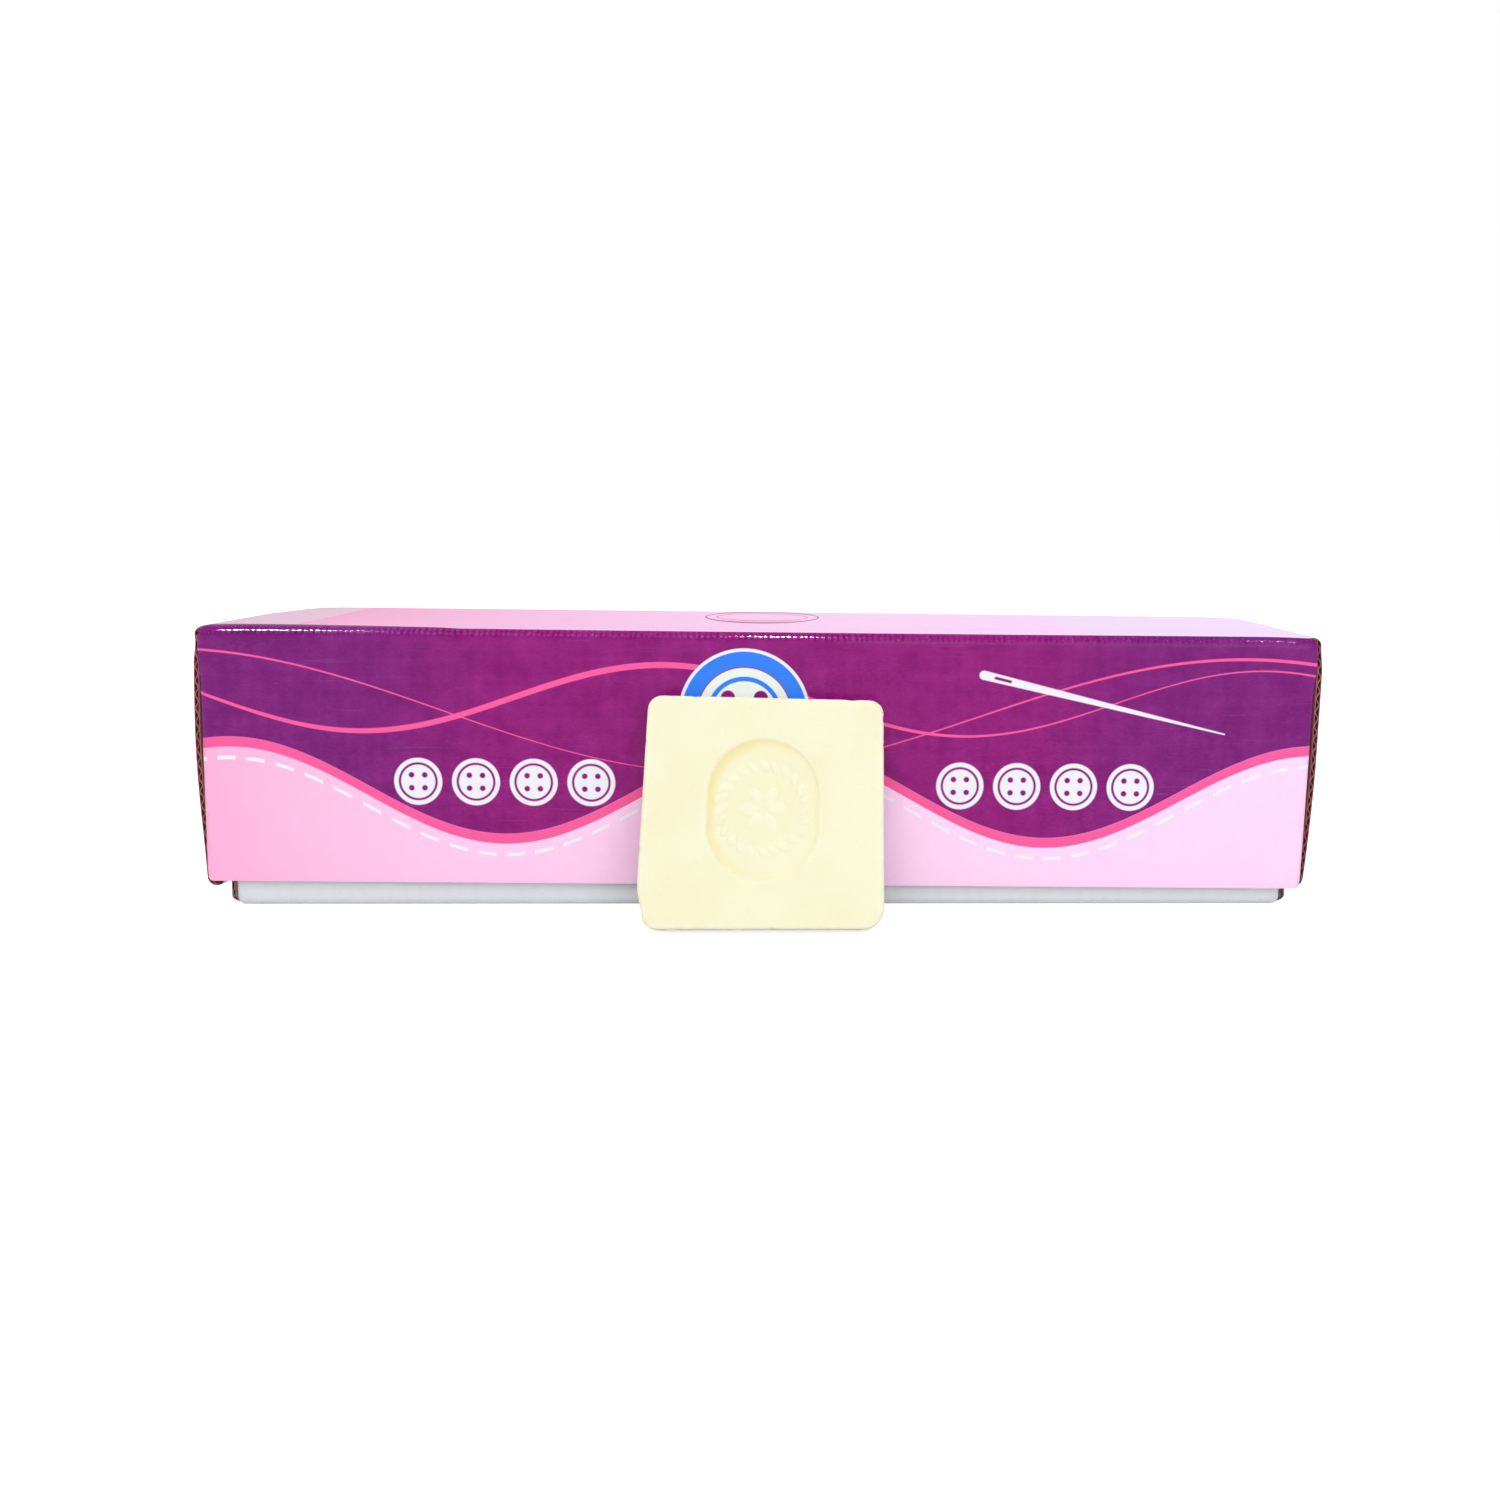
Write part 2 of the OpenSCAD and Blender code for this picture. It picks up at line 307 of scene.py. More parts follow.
class Field:
    """A number that varies over a surface. Ordinary signs between fields add the nodes that work it out."""

    def __init__(self, tree, socket):
        self.tree, self.socket = tree, socket

    def worked(self, operation, *others):
        """The field that an operation on this one and other values gives."""
        node = self.tree.nodes.new("ShaderNodeMath")
        node.operation = operation
        for socket, value in zip(node.inputs, (self,) + others):
            join(self.tree, value, socket)
        return Field(self.tree, node.outputs[0])

    def __add__(self, other):
        return self.worked("ADD", other)

    def __sub__(self, other):
        return self.worked("SUBTRACT", other)

    def __mul__(self, other):
        return self.worked("MULTIPLY", other)

    def __truediv__(self, other):
        return self.worked("DIVIDE", other)

    def __abs__(self):
        return self.worked("ABSOLUTE")

    def sine(self):
        return self.worked("SINE")

    def wrapped(self, length):
        return self.worked("WRAP", length, 0.0)

    def at_least(self, other):
        return self.worked("MAXIMUM", other)

    def at_most(self, other):
        return self.worked("MINIMUM", other)

    def over(self, level, soft):
        """A mask that is 1 where the field lies over a level, with a soft edge."""
        node = self.tree.nodes.new("ShaderNodeMapRange")
        node.interpolation_type = "SMOOTHSTEP"
        join(self.tree, self, node.inputs["Value"])
        node.inputs["From Min"].default_value = level - soft / 2
        node.inputs["From Max"].default_value = level + soft / 2
        return Field(self.tree, node.outputs[0])

    def under(self, level, soft):
        """The opposite mask, which is 1 below the level."""
        return self.over(level, soft).worked("MULTIPLY_ADD", -1.0, 1.0)


def join(tree, value, socket):
    """Links a field or a socket to an input, or sets the input to a plain value."""
    if isinstance(value, Field):
        tree.links.new(value.socket, socket)
    elif isinstance(value, bpy.types.NodeSocket):
        tree.links.new(value, socket)
    else:
        socket.default_value = value


def fed(tree, node, **inputs):
    """A node with its inputs linked or set by name. An underscore in a name stands for a space."""
    for label, value in inputs.items():
        join(tree, value, node.inputs[label.replace("_", " ")])
    return node


def new_node(tree, kind, **inputs):
    return fed(tree, tree.nodes.new(kind), **inputs)


def length_of(a, b):
    return (a * a + b * b).worked("SQRT")


def segment(x, y, start, end):
    """Distance of a point from a straight stroke, and how far along the stroke it lies, from 0 to 1."""
    run, rise = end[0] - start[0], end[1] - start[1]
    along = ((x - start[0]) * run + (y - start[1]) * rise) / (run * run + rise * rise)
    along = along.at_least(0.0).at_most(1.0)
    return length_of(x - start[0] - along * run, y - start[1] - along * rise), along


def blended(tree, mask, under, over):
    """One colour laid over another through a mask."""
    node = tree.nodes.new("ShaderNodeMix")
    node.data_type = "RGBA"
    return fed(tree, node, Factor=mask, A=under, B=over).outputs["Result"]


def speckle(tree, place, scale, detail=3.0, roughness=0.5):
    """Noise of a given scale, in bumps per metre."""
    node = new_node(tree, "ShaderNodeTexNoise", Vector=place, Scale=scale, Detail=detail,
                    Roughness=roughness)
    return Field(tree, node.outputs["Fac"])


def stretched_noise(tree, place, scale, detail):
    """Noise from 0 to 1 with its own scale along each axis, in bumps per metre."""
    node = new_node(tree, "ShaderNodeMapping", Vector=place, Scale=scale)
    return speckle(tree, node.outputs[0], 1.0, detail)


def parts_of(tree, place):
    """A place's X, Y and Z."""
    node = new_node(tree, "ShaderNodeSeparateXYZ", Vector=place)
    return [Field(tree, socket) for socket in node.outputs]


def new_group(name, inputs, outputs, family="Shader"):
    """An empty node group with named sockets. Each entry is a name, a kind and, for an input, a default."""
    tree = bpy.data.node_groups.new(name, family + "NodeTree")
    for label, kind, *default in inputs:
        socket = tree.interface.new_socket(label, in_out="INPUT", socket_type="NodeSocket" + kind)
        if default:
            socket.default_value = default[0]
    for label, kind in outputs:
        tree.interface.new_socket(label, in_out="OUTPUT", socket_type="NodeSocket" + kind)
    return tree, tree.nodes.new("NodeGroupInput"), tree.nodes.new("NodeGroupOutput")


def placed(tree, group, **inputs):
    """A node group in a material, with its own values."""
    node = tree.nodes.new("ShaderNodeGroup")
    node.node_tree = group
    return fed(tree, node, **inputs)


def paper_group():
    """Paper over fluting: faint ridges at the flutes' pitch, blotches of uneven ink or clay, and fibres."""
    tree, given, out = new_group("paper_over_flutes", [
        ("Place", "Vector"),
        ("Along", "Float", 0.0),
        ("Ridge", "Float", 0.3),
        ("Blotch", "Float", 0.5),
        ("Fibre", "Float", 0.5),
    ], [("Tone", "Float"), ("Height", "Float")])
    place = given.outputs["Place"]
    along, ridge_by, blotch_by, fibre_by = (Field(tree, socket) for socket in given.outputs[1:5])
    ridge = (along * (math.tau / FLUTE_PITCH) + speckle(tree, place, 30.0) * 1.5).sine()
    blotch = speckle(tree, place, 170.0, 4.0, 0.62) - 0.5
    streak = stretched_noise(tree, place, (40.0, 40.0, 500.0), 2.0) - 0.5
    fibre = stretched_noise(tree, place, (900.0, 900.0, 2600.0), 3.0) - 0.5
    coarse = (blotch + streak * 0.35) * blotch_by
    fine = fibre * fibre_by
    lift = ridge * ridge_by
    join(tree, coarse + fine * 0.4 + lift * 0.06, out.inputs["Tone"])
    join(tree, lift * 0.03 + blotch * 0.04 + fine * 0.03, out.inputs["Height"])
    return tree


def wear_group():
    """Scuffs and dust: thin scratches one way and specks, as a mask from 0 to 1."""
    tree, given, out = new_group("scuffs_and_dust", [
        ("Place", "Vector"),
        ("Scratches", "Float", 0.5),
        ("Specks", "Float", 0.5),
    ], [("Mask", "Float")])
    place = given.outputs["Place"]
    scratch = stretched_noise(tree, place, (60.0, 60.0, 2500.0), 2.0).over(0.69, 0.05)
    patches = speckle(tree, place, 25.0).over(0.5, 0.2)
    specks = speckle(tree, place, 1400.0, 1.0).over(0.74, 0.05)
    scratched = scratch * patches * Field(tree, given.outputs["Scratches"])
    dusty = specks * Field(tree, given.outputs["Specks"])
    join(tree, (scratched + dusty).at_most(1.0), out.inputs["Mask"])
    return tree


def new_material(name, roughness, **values):
    """A material whose plain values sit on its shader, with its tree, shader and object coordinates."""
    material = bpy.data.materials.new(name)
    material.use_nodes = True
    tree = material.node_tree
    shader = fed(tree, tree.nodes["Principled BSDF"], Roughness=roughness, **values)
    return material, tree, shader, tree.nodes.new("ShaderNodeTexCoord").outputs["Object"]


def raised(tree, shader, height, strength):
    """Bumps in a material, whose height is in millimetres."""
    node = new_node(tree, "ShaderNodeBump", Distance=MM, Strength=strength, Height=height)
    tree.links.new(node.outputs["Normal"], shader.inputs["Normal"])


def kept(tree, name):
    """A value that the mesh keeps at its points."""
    node = tree.nodes.new("ShaderNodeAttribute")
    node.attribute_name = name
    return Field(tree, node.outputs["Fac"])


def toned(tree, colour, tone, amount):
    """A colour made lighter and darker by a tone that is 0 in the middle."""
    return new_node(tree, "ShaderNodeHueSaturation", Color=colour, Value=tone * amount + 1.0).outputs[0]


def button(tree, colour, middle, r, hole, x, up, face, ring):
    """A button with four holes drawn over a colour, which shows through the holes."""
    aside, above = x - middle[0], up - middle[1]
    away = length_of(aside, above)
    drawn = blended(tree, away.under(r, PRINT_EDGE), colour, face)
    drawn = blended(tree, abs(away - r * RING_SHARE).under(r * LINE_SHARE, PRINT_EDGE), drawn, ring)
    apart = hole * HOLES_APART
    holes = length_of(abs(aside) - apart, abs(above) - apart).under(hole, PRINT_EDGE)
    return blended(tree, holes, drawn, colour)


def sewn_print(tree, x, up, pink, purple):
    """The lid's printed sides, in millimetres: a rose-edged hem over purple, with stitches, threads,
    a needle and buttons."""
    hem = ((x - HEM_SHIFT) * (math.tau / HEM_PITCH)).worked("COSINE") * HEM_RISE + HEM_MIDDLE
    colour = purple
    for middle, rise, period, start, width in THREADS:
        thread = (x * (math.tau / period) + start).sine() * rise + middle
        swell = (x * (math.pi / period) + start).sine() * 0.5 + 0.75
        line = (abs(up - thread) - swell * (width / 2)).under(0.0, PRINT_EDGE)
        colour = blended(tree, line, colour, ink(ROSE))

    away, along = segment(x, up, *NEEDLE)
    needle = (away - (along * -0.85 + 1.0).at_least(0.12)).under(0.0, PRINT_EDGE)
    beside_eye = segment(x, up, *NEEDLE_EYE)[0].over(NEEDLE_EYE_R, PRINT_EDGE)
    colour = blended(tree, needle * beside_eye, colour, ink(STITCH_WHITE))

    colour = blended(tree, (up - hem).over(0.0, PRINT_EDGE), pink, colour)
    border = abs(up - hem + HEM_BORDER / 2).under(HEM_BORDER / 2, PRINT_EDGE)
    colour = blended(tree, border, colour, ink(ROSE))
    dashes = x.wrapped(STITCH_PITCH).under(STITCH_L, PRINT_EDGE)
    seam = abs(up - hem + STITCH_IN).under(STITCH_W / 2, PRINT_EDGE)
    colour = blended(tree, seam * dashes, colour, ink(STITCH_WHITE))

    for middle in BUTTON_ROWS:
        place = (x - (middle - 2 * BUTTON_PITCH)).wrapped(BUTTON_PITCH)
        row = button(tree, colour, (BUTTON_PITCH / 2, BUTTON_UP), BUTTON_R, BUTTON_HOLE, place, up,
                     ink(STITCH_WHITE), colour)
        colour = blended(tree, abs(x - middle).under(2 * BUTTON_PITCH, PRINT_EDGE), colour, row)

    rim = length_of(x - BIG_BUTTON[0], up - BIG_BUTTON[1])
    for r, ring in ((BIG_BUTTON_R + BIG_BUTTON_RIM, ink(STITCH_WHITE)), (BIG_BUTTON_R, ink(BUTTON_BLUE)),
                    (BIG_BUTTON_R * RING_SHARE, purple)):
        colour = blended(tree, rim.under(r, PRINT_EDGE), colour, ring)
    return button(tree, colour, BIG_BUTTON, BIG_BUTTON_R * BIG_BUTTON_FACE, BIG_BUTTON_HOLE, x, up,
                  ink(BUTTON_CREAM), ink(BUTTON_BLUE))


def side_print(tree, half, x, z, on_end, leftward, tone):
    """The lid's printed sides and its plain purple ends."""
    pink = blended(tree, leftward.worked("POWER", 4.0), ink(PINK_AT_RIGHT), ink(PINK_AT_LEFT))
    pink = toned(tree, pink, tone, 0.1)
    purple = blended(tree, abs(x / half.ear_x).over(0.6, 0.35), ink(PURPLE), ink(PURPLE_AT_ENDS))
    purple = toned(tree, purple, tone, 0.85)
    purple = blended(tree, (tone * 0.04 + 0.004).at_least(0.0), purple, ink(STITCH_WHITE))
    sides = sewn_print(tree, x / MM, (z + half.wall_h) / MM, pink, purple)
    return blended(tree, on_end.over(0.94, 0.04), sides, purple)


def top_print(tree, x, y, leftward, tone):
    """The lid's printed top: a pink field between pale ends, greyed on the left by painted sheen, and its
    oval's rings.
    """
    field = abs(x - TOP_FIELD[0]).under(TOP_FIELD[1], 0.6 * MM)
    pink = blended(tree, leftward.worked("POWER", 2.5), ink(TOP_PINK_AT_RIGHT), ink(TOP_PINK_AT_LEFT))
    # Towards the left the pale ends turn into a painted grey sheen
    ends = blended(tree, leftward, ink(TOP_END_RIGHT), ink(TOP_LEFT_SHEEN))
    colour = blended(tree, field * -0.75 + 0.75, toned(tree, pink, tone, 0.1), ends)
    across, up = x / MM - TOP_OVAL[0], y / MM - TOP_OVAL[1]
    for wide, deep, ends_w, front_w, rgb in TOP_RINGS:
        outer = length_of(across / wide, up / deep)
        inner = length_of(across / (wide - ends_w), up / (deep - front_w))
        colour = blended(tree, outer.under(1.0, 0.02) * inner.over(1.0, 0.02), colour, ink(rgb))
    return colour


def lid_print(half):
    """The lid's glossy printed face, with its fold lines cracked a little and the ink slightly uneven."""
    material, tree, shader, place = new_material("glossy_print", 0.36, Coat_Weight=0.24, Coat_Roughness=0.07,
                                                 Specular_IOR_Level=0.0)
    turned_back = tree.nodes.new("ShaderNodeMapping")
    turned_back.vector_type = "TEXTURE"
    fed(tree, turned_back, Vector=place, Location=half.to_part.translation, Rotation=(0, half.tilt, 0))
    own = turned_back.outputs[0]
    x, y, z = parts_of(tree, own)
    on_top, on_end = kept(tree, "top_face"), kept(tree, "end_face")
    paper = placed(tree, board_paper, Place=own, Along=x, Ridge=0.35, Blotch=0.7, Fibre=1.0)
    tone = Field(tree, paper.outputs["Tone"])
    leftward = (x / half.ear_x * -0.5 + 0.5).at_least(0.0)
    lap = x.under(LAP_TO, LAP_SOFT) * PURPLE_LAP
    past_lap = (y + half.side_y - lap).over(0.0, 0.1 * MM)
    colour = blended(tree, on_top.over(0.92, 0.03) * past_lap,
                     side_print(tree, half, x, z, on_end, leftward, tone),
                     top_print(tree, x, y, leftward, tone))

    fold = (on_top - on_top * on_top) * 4.0
    cracks = fold * speckle(tree, own, 2600.0, 2.0).over(0.66, 0.06)
    wear = placed(tree, scuffs, Place=own, Scratches=0.4, Specks=0.25)
    worn_off = Field(tree, wear.outputs["Mask"])
    colour = blended(tree, cracks * 0.1 + worn_off * 0.08, colour, ink(STITCH_WHITE))
    ridges = (x * (math.tau / CRACK_PITCH) + speckle(tree, own, 300.0) * 9.0).sine()
    between = fold.over(0.3, 0.2) * (ridges + speckle(tree, own, 900.0) * 1.2).under(0.5, 0.5)
    fed(tree, shader, Base_Color=colour,
        Roughness=speckle(tree, own, 400.0) * 0.16 + worn_off * 0.2 + 0.26,
        Coat_Weight=(worn_off * -0.12 + 0.24) * (between * -0.98 + 1.0))
    raised(tree, shader, Field(tree, paper.outputs["Height"]) + fold * ridges * 0.03, 0.6)
    return material


def board_face(name, rgb, roughness, ridge, blotch, fibre, mottle):
    """A plain face of the board, coated or kraft."""
    material, tree, shader, place = new_material(name, roughness)
    x = parts_of(tree, place)[0]
    paper = placed(tree, board_paper, Place=place, Along=x, Ridge=ridge, Blotch=blotch, Fibre=fibre)
    wear = placed(tree, scuffs, Place=place, Scratches=0.6, Specks=0.6)
    tone = Field(tree, paper.outputs["Tone"])
    colour = toned(tree, ink(rgb), tone, mottle)
    dark = tuple(v * 0.78 for v in rgb)
    colour = blended(tree, Field(tree, wear.outputs["Mask"]) * 0.3, colour, ink(dark))
    fed(tree, shader, Base_Color=colour, Roughness=tone * 0.1 + roughness)
    raised(tree, shader, paper.outputs["Height"], 0.5)
    return material


def torn_face(name, rgb, mottle=0.5):
    """The fibrous paper at a raw edge or in the fluting."""
    return board_face(name, rgb, roughness=0.9, ridge=0.0, blotch=1.2, fibre=2.0, mottle=mottle)


def chalk_face():
    """Pressed chalk: matt cream with faint yellow clouds, painted shade in yellow in its recess, powdery
    edges.
    """
    material, tree, shader, _ = new_material("pressed_chalk", 0.9, Sheen_Weight=0.05, Specular_IOR_Level=0.1)
    own = tree.nodes.new("ShaderNodeAttribute")
    own.attribute_name = "own_place"
    place = own.outputs["Vector"]
    wall, edge = kept(tree, "recess_wall"), kept(tree, "edge")
    clouds = speckle(tree, place, 45.0, 3.0, 0.6).over(0.52, 0.35)
    powder = speckle(tree, place, 2200.0, 4.0, 0.7)
    pits = speckle(tree, place, 620.0, 2.0).under(0.3, 0.05)
    rubbed = speckle(tree, place, 330.0).over(0.42, 0.25)
    wear = placed(tree, scuffs, Place=place, Scratches=0.35, Specks=0.3)
    # The yellow in the recess is painted shade, most on its upper left; the clouds are the chalk's own
    # colour
    colour = blended(tree, clouds * 0.2 + wall * 0.75, ink(CHALK_CREAM), ink(CHALK_YELLOW))
    colour = toned(tree, colour, powder - 0.5, 0.04)
    pale = (Field(tree, wear.outputs["Mask"]) * 0.4 + edge * rubbed * 0.4).at_most(1.0)
    colour = blended(tree, pale, colour, ink(CHALK_POWDER))
    colour = blended(tree, pits * 0.1, colour, ink(CHALK_YELLOW))
    fed(tree, shader, Base_Color=colour, Roughness=powder * 0.2 + 0.78)
    raised(tree, shader, powder * 0.04 - pits * 0.05 + speckle(tree, place, 260.0) * 0.08, 0.5)
    return material


# The folded halves

class Half:
    """Sizes of a carton half in its own frame, in which it stands open side up on its base."""

    slots = used = False
    tilt = 0.0
    corner_reach = FOLD_STEPS
    crush_depth = CRUSH

    def __init__(self, node, to_own):
        points = np.array([to_own @ v.co for v in frame["nodes"][node].data.vertices])
        self.to_part = to_own.inverted()
        self.end_x, self.side_y, self.end_h = (float(v) for v in points.max(axis=0))
        self.wall_h = self.end_h - ROLL_RISE
        self.ear_x = self.end_x - BOARD - PLY_GAP
        self.roll_r = (3 * BOARD + 2 * PLY_GAP) / 2
        self.inner_x = self.end_x - 2 * self.roll_r
        self.ear_top = self.end_h - self.roll_r - PLY_GAP
        self.wall_xs = spaced(FOLD_R - self.ear_x, self.ear_x - FOLD_R)
        self.base_half = self.side_y - FOLD_R

    def base_ys(self):
        """Where the base is divided across: evenly, and at the edges of the tabs and their slots."""
        inner = self.base_half - CRUSH_REACH
        ys = spaced(-inner, inner)
        ys += [side * (self.base_half - d) for side in (-1, 1) for d in EDGE_ROWS[:-1]]
        if self.slots:
            for side in (-1, 1):
                for reach in (TAB_W / 2, TAB_W / 2 + 2 * PLY_GAP):
                    ys += [side * TAB_OFFSET - reach, side * TAB_OFFSET + reach]
        return sorted(ys)

    def base_xs(self):
        """Where the base is divided along: at the walls' own steps, and round the slots."""
        end = self.end_x - FOLD_R
        xs = [-end] + self.wall_xs + [end]
        if self.slots:
            edges = (self.inner_x - PLY_GAP, self.inner_x + BOARD + PLY_GAP)
            xs += [side * edge for side in (-1, 1) for edge in edges]
        return sorted(xs)

    def flap_half(self, z):
        """Half the end flap's width at a height. It draws in to the roll, and at a used one's crease."""
        root, tip = self.side_y - FLAP_INSET, self.side_y - FLAP_TIP_INSET
        full = root + (tip - root) * z / self.end_h
        if not self.used:
            return self.base_half + (full - self.base_half) * min(1.0, z / FOLD_R)
        neck = self.base_half - NECK_HALF_IN * min(1.0, z / NECK_SPAN[0])
        return neck + (full - neck) * eased(z, *NECK_SPAN)

    def crush(self, cut):
        """How much thinner the board is at a distance from its raw edge."""
        near = max(0.0, 1 - cut / CRUSH_REACH)
        return self.crush_depth * near * near

    def from_end(self, p, start, end):
        """0 up to a distance from the half's end, 1 past a shorter one and a smooth rise between them."""
        return eased(abs(p.x), self.end_x - start, self.end_x - end)

    def from_top(self, p, start, end):
        """The same with heights, counted down from the top of the roll."""
        return eased(p.z, self.end_h - start, self.end_h - end)

    def stand_out(self, p):
        """How far a used end stands out: the left one bulges, the right one leans in towards its roll."""
        outer = abs(p.x) > self.ear_x + CLOSE
        if p.x > 0 and outer:
            return -RIGHT_END_IN * max(0.0, (p.z - RIGHT_END_FROM) / RIGHT_END_RISE) ** 1.5
        if p.x > 0:
            return -RIGHT_WALL_IN * max(0.0, p.z - RIGHT_WALL_FROM)
        within = eased(self.side_y - abs(p.y), ROLL_EDGE, ROLL_EDGE + 1 * MM)
        wall = LEFT_WALL_OUT * (1 - within * self.from_top(p, *LEFT_WALL_SPAN))
        if not outer:
            return wall
        bulge = LEFT_BULGE * max(0.0, math.sin(math.pi * p.z / self.end_h)) ** 1.5
        return wall + (bulge - wall) * eased(p.z, *LEFT_BULGE_HEIGHTS)

    def droop(self, p):
        """How far the used base has sunk near its ends, most of all at the back corners."""
        def sunk(depth, start, end):
            return depth * self.from_end(p, start, end)

        if p.x > 0:
            return sunk(*RIGHT_DROOP)
        at_back = eased(-p.y / self.side_y, *BACK_SHARES)
        return sunk(*LEFT_DROOP) + sunk(*CORNER_DROOP) + sunk(*BACK_DROOP) * at_back

    def puff(self, p):
        """How far a used corner's board puffs out where wall and base meet."""
        swell = CORNER_PUFF * math.exp(-((p.z - PUFF_UP) / PUFF_RISE) ** 2)
        for distance, border, (start, end) in ((abs(p.x), self.ear_x, PUFF_SPAN_X),
                                               (abs(p.y), self.base_half, PUFF_SPAN_Y)):
            swell *= eased(distance, border - start, border - end)
        return swell

    def settled(self, p):
        """Where a point of the crisp folded shape comes to lie. Walls bow in. The used lid's front edge
        sags, its ends droop and shift, its corners puff out, and one roll is pushed up."""
        span = max(0.0, 1 - (p.x / self.end_x) ** 2)
        rise = max(0.0, math.sin(math.pi * min(1.0, p.z / self.wall_h)))
        side = -math.copysign(1, p.y) * min(1.0, abs(p.y) / self.side_y) ** 4
        moved = Vector((0, side * WALL_BOW * span * rise, 0))
        if self.used:
            low = max(0.0, 1 - p.z / SAG_HEIGHT)
            front = eased(p.y / self.side_y, *FRONT_SHARES)
            moved.z = low * (FRONT_SAG * span ** 1.5 * front + self.droop(p))
            near_end = eased(abs(p.x), self.end_x - SHIFT_SPAN[0], self.ear_x - SHIFT_SPAN[1])
            moved.x = math.copysign(near_end, p.x) * self.stand_out(p)
            if abs(p.x) > self.inner_x - 1 * MM and self.side_y - abs(p.y) > ROLL_EDGE:
                pushed = LEFT_ROLL_DOWN if p.x < 0 else -RIGHT_ROLL_UP
                moved.z += pushed * self.from_top(p, *ROLL_SPAN)
            if abs(p.x) < self.ear_x + CLOSE:
                moved.x += math.copysign(self.puff(p), p.x)
        return p + moved


def eased(value, start, end):
    """0 before a start, 1 past an end and a smooth rise between them."""
    t = min(1.0, max(0.0, (value - start) / (end - start)))
    return t * t * (3 - 2 * t)


def spaced(start, end, step=PANEL_STEP):
    """Even divisions from a start to an end, about a step apart."""
    count = max(1, round((end - start) / step))
    return [start + (end - start) * i / count for i in range(count + 1)]


def turned(start, end, steps=FOLD_STEPS):
    """Unit directions from one angle to another, in degrees."""
    angles = [math.radians(start + (end - start) * i / steps) for i in range(steps + 1)]
    return [(math.cos(a), math.sin(a)) for a in angles]


def keep_numbers(data, label, numbers):
    """Keeps a number at each point of a mesh."""
    data.attributes.new(label, "FLOAT", "POINT").data.foreach_set("value", numbers)


def keep_vectors(data, label, vectors):
    """Keeps a vector at each point of a mesh."""
    flat = [c for vector in vectors for c in vector]
    data.attributes.new(label, "FLOAT_VECTOR", "POINT").data.foreach_set("vector", flat)


class Sheet:
    """A folded sheet, laid out as patches that share their borders.
    A point has the way out of the board, its run along the sheet and its distance from a raw edge."""

    def __init__(self, half):
        self.half, self.points, self.ways, self.runs, self.faces = half, [], [], [], []

    def patch(self, rows, mirrors, keep=None):
        """Adds rows of (point, way out, run, distance from a raw edge) as quads, once for each mirroring."""
        wide = len(rows[0])
        for mx, my in mirrors:
            start = len(self.points)
            for point, way, run, cut in (p for row in rows for p in row):
                crush = self.half.crush(cut)
                self.points.append(Vector((point[0] * mx, point[1] * my, point[2])))
                self.ways.append(Vector((way[0] * mx, way[1] * my, way[2])))
                self.runs.append((run, crush))
            for i in range(len(rows) - 1):
                for j in range(wide - 1):
                    if keep is None or keep(i, j):
                        a = start + i * wide + j
                        self.faces.append((a, a + 1, a + wide + 1, a + wide))

    def at_depth(self, point, way, crush, depth):
        """A point at a depth in the board, counted before the board is crushed."""
        half = self.half
        return half.to_part @ half.settled(point - way * (crush + depth * (1 - crush / BOARD)))

    def joined(self):
        """The patches sewn together: their points, runs, faces, which look out, and raw edges."""
        made = bmesh.new()
        way_layer = made.verts.layers.float_vector.new("way")
        run_layer = made.verts.layers.float.new("run")
        crush_layer = made.verts.layers.float.new("crush")
        for point, way, (run, crush) in zip(self.points, self.ways, self.runs):
            vert = made.verts.new(point)
            vert[way_layer], vert[run_layer], vert[crush_layer] = way, run, crush
        verts = list(made.verts)
        for face in self.faces:
            made.faces.new([verts[i] for i in face])
        bmesh.ops.remove_doubles(made, verts=made.verts, dist=SAME_POINT)
        made.normal_update()
        for face in made.faces:
            if face.normal.dot(sum((v[way_layer] for v in face.verts), Vector())) < 0:
                face.normal_flip()
        made.verts.index_update()
        rims = []
        for edge in made.edges:
            if edge.is_boundary:
                corner = edge.link_loops[0]
                rims.append((corner.vert.index, corner.link_loop_next.vert.index))
        points = [(v.co.copy(), v[way_layer].copy(), v[crush_layer]) for v in made.verts]
        runs = [v[run_layer] for v in made.verts]
        faces = [[v.index for v in f.verts] for f in made.faces]
        made.free()
        return points, runs, faces, rims

    def shell(self, name, near, far, *materials):
        """A skin of the board between two depths, with materials for its near side, far side and rims."""
        points, _, faces, rims = self.joined()
        count = len(points)
        lie = [self.at_depth(*point, depth) for depth in (near, far) for point in points]
        skins = faces + [[i + count for i in reversed(face)] for face in faces]
        sides = [(b, a, a + count, b + count) for a, b in rims]
        data = bpy.data.meshes.new(name)
        data.from_pydata(lie, [], skins + sides)
        for material in materials:
            data.materials.append(material)
        data.polygons.foreach_set("material_index", [0] * len(faces) + [1] * len(faces) + [2] * len(sides))
        keep_numbers(data, "top_face", [max(0.0, -way.z) for _, way, _ in points] * 2)
        keep_numbers(data, "end_face", [abs(way.x) for _, way, _ in points] * 2)
        data.shade_smooth()
        data.set_sharp_from_angle(angle=math.radians(40))
        return data

    def ribbon(self, name):
        """The middle of the board, which keeps the run and the room for a wave at each point."""
        points, runs, faces, _ = self.joined()
        data = bpy.data.meshes.new(name)
        data.from_pydata([self.at_depth(*point, BOARD / 2) for point in points], [], faces)
        keep_numbers(data, "run", runs)
        turn = self.half.to_part.to_3x3()
        keep_vectors(data, "room", [turn @ way * (1 - crush / BOARD) for _, way, crush in points])
        return data


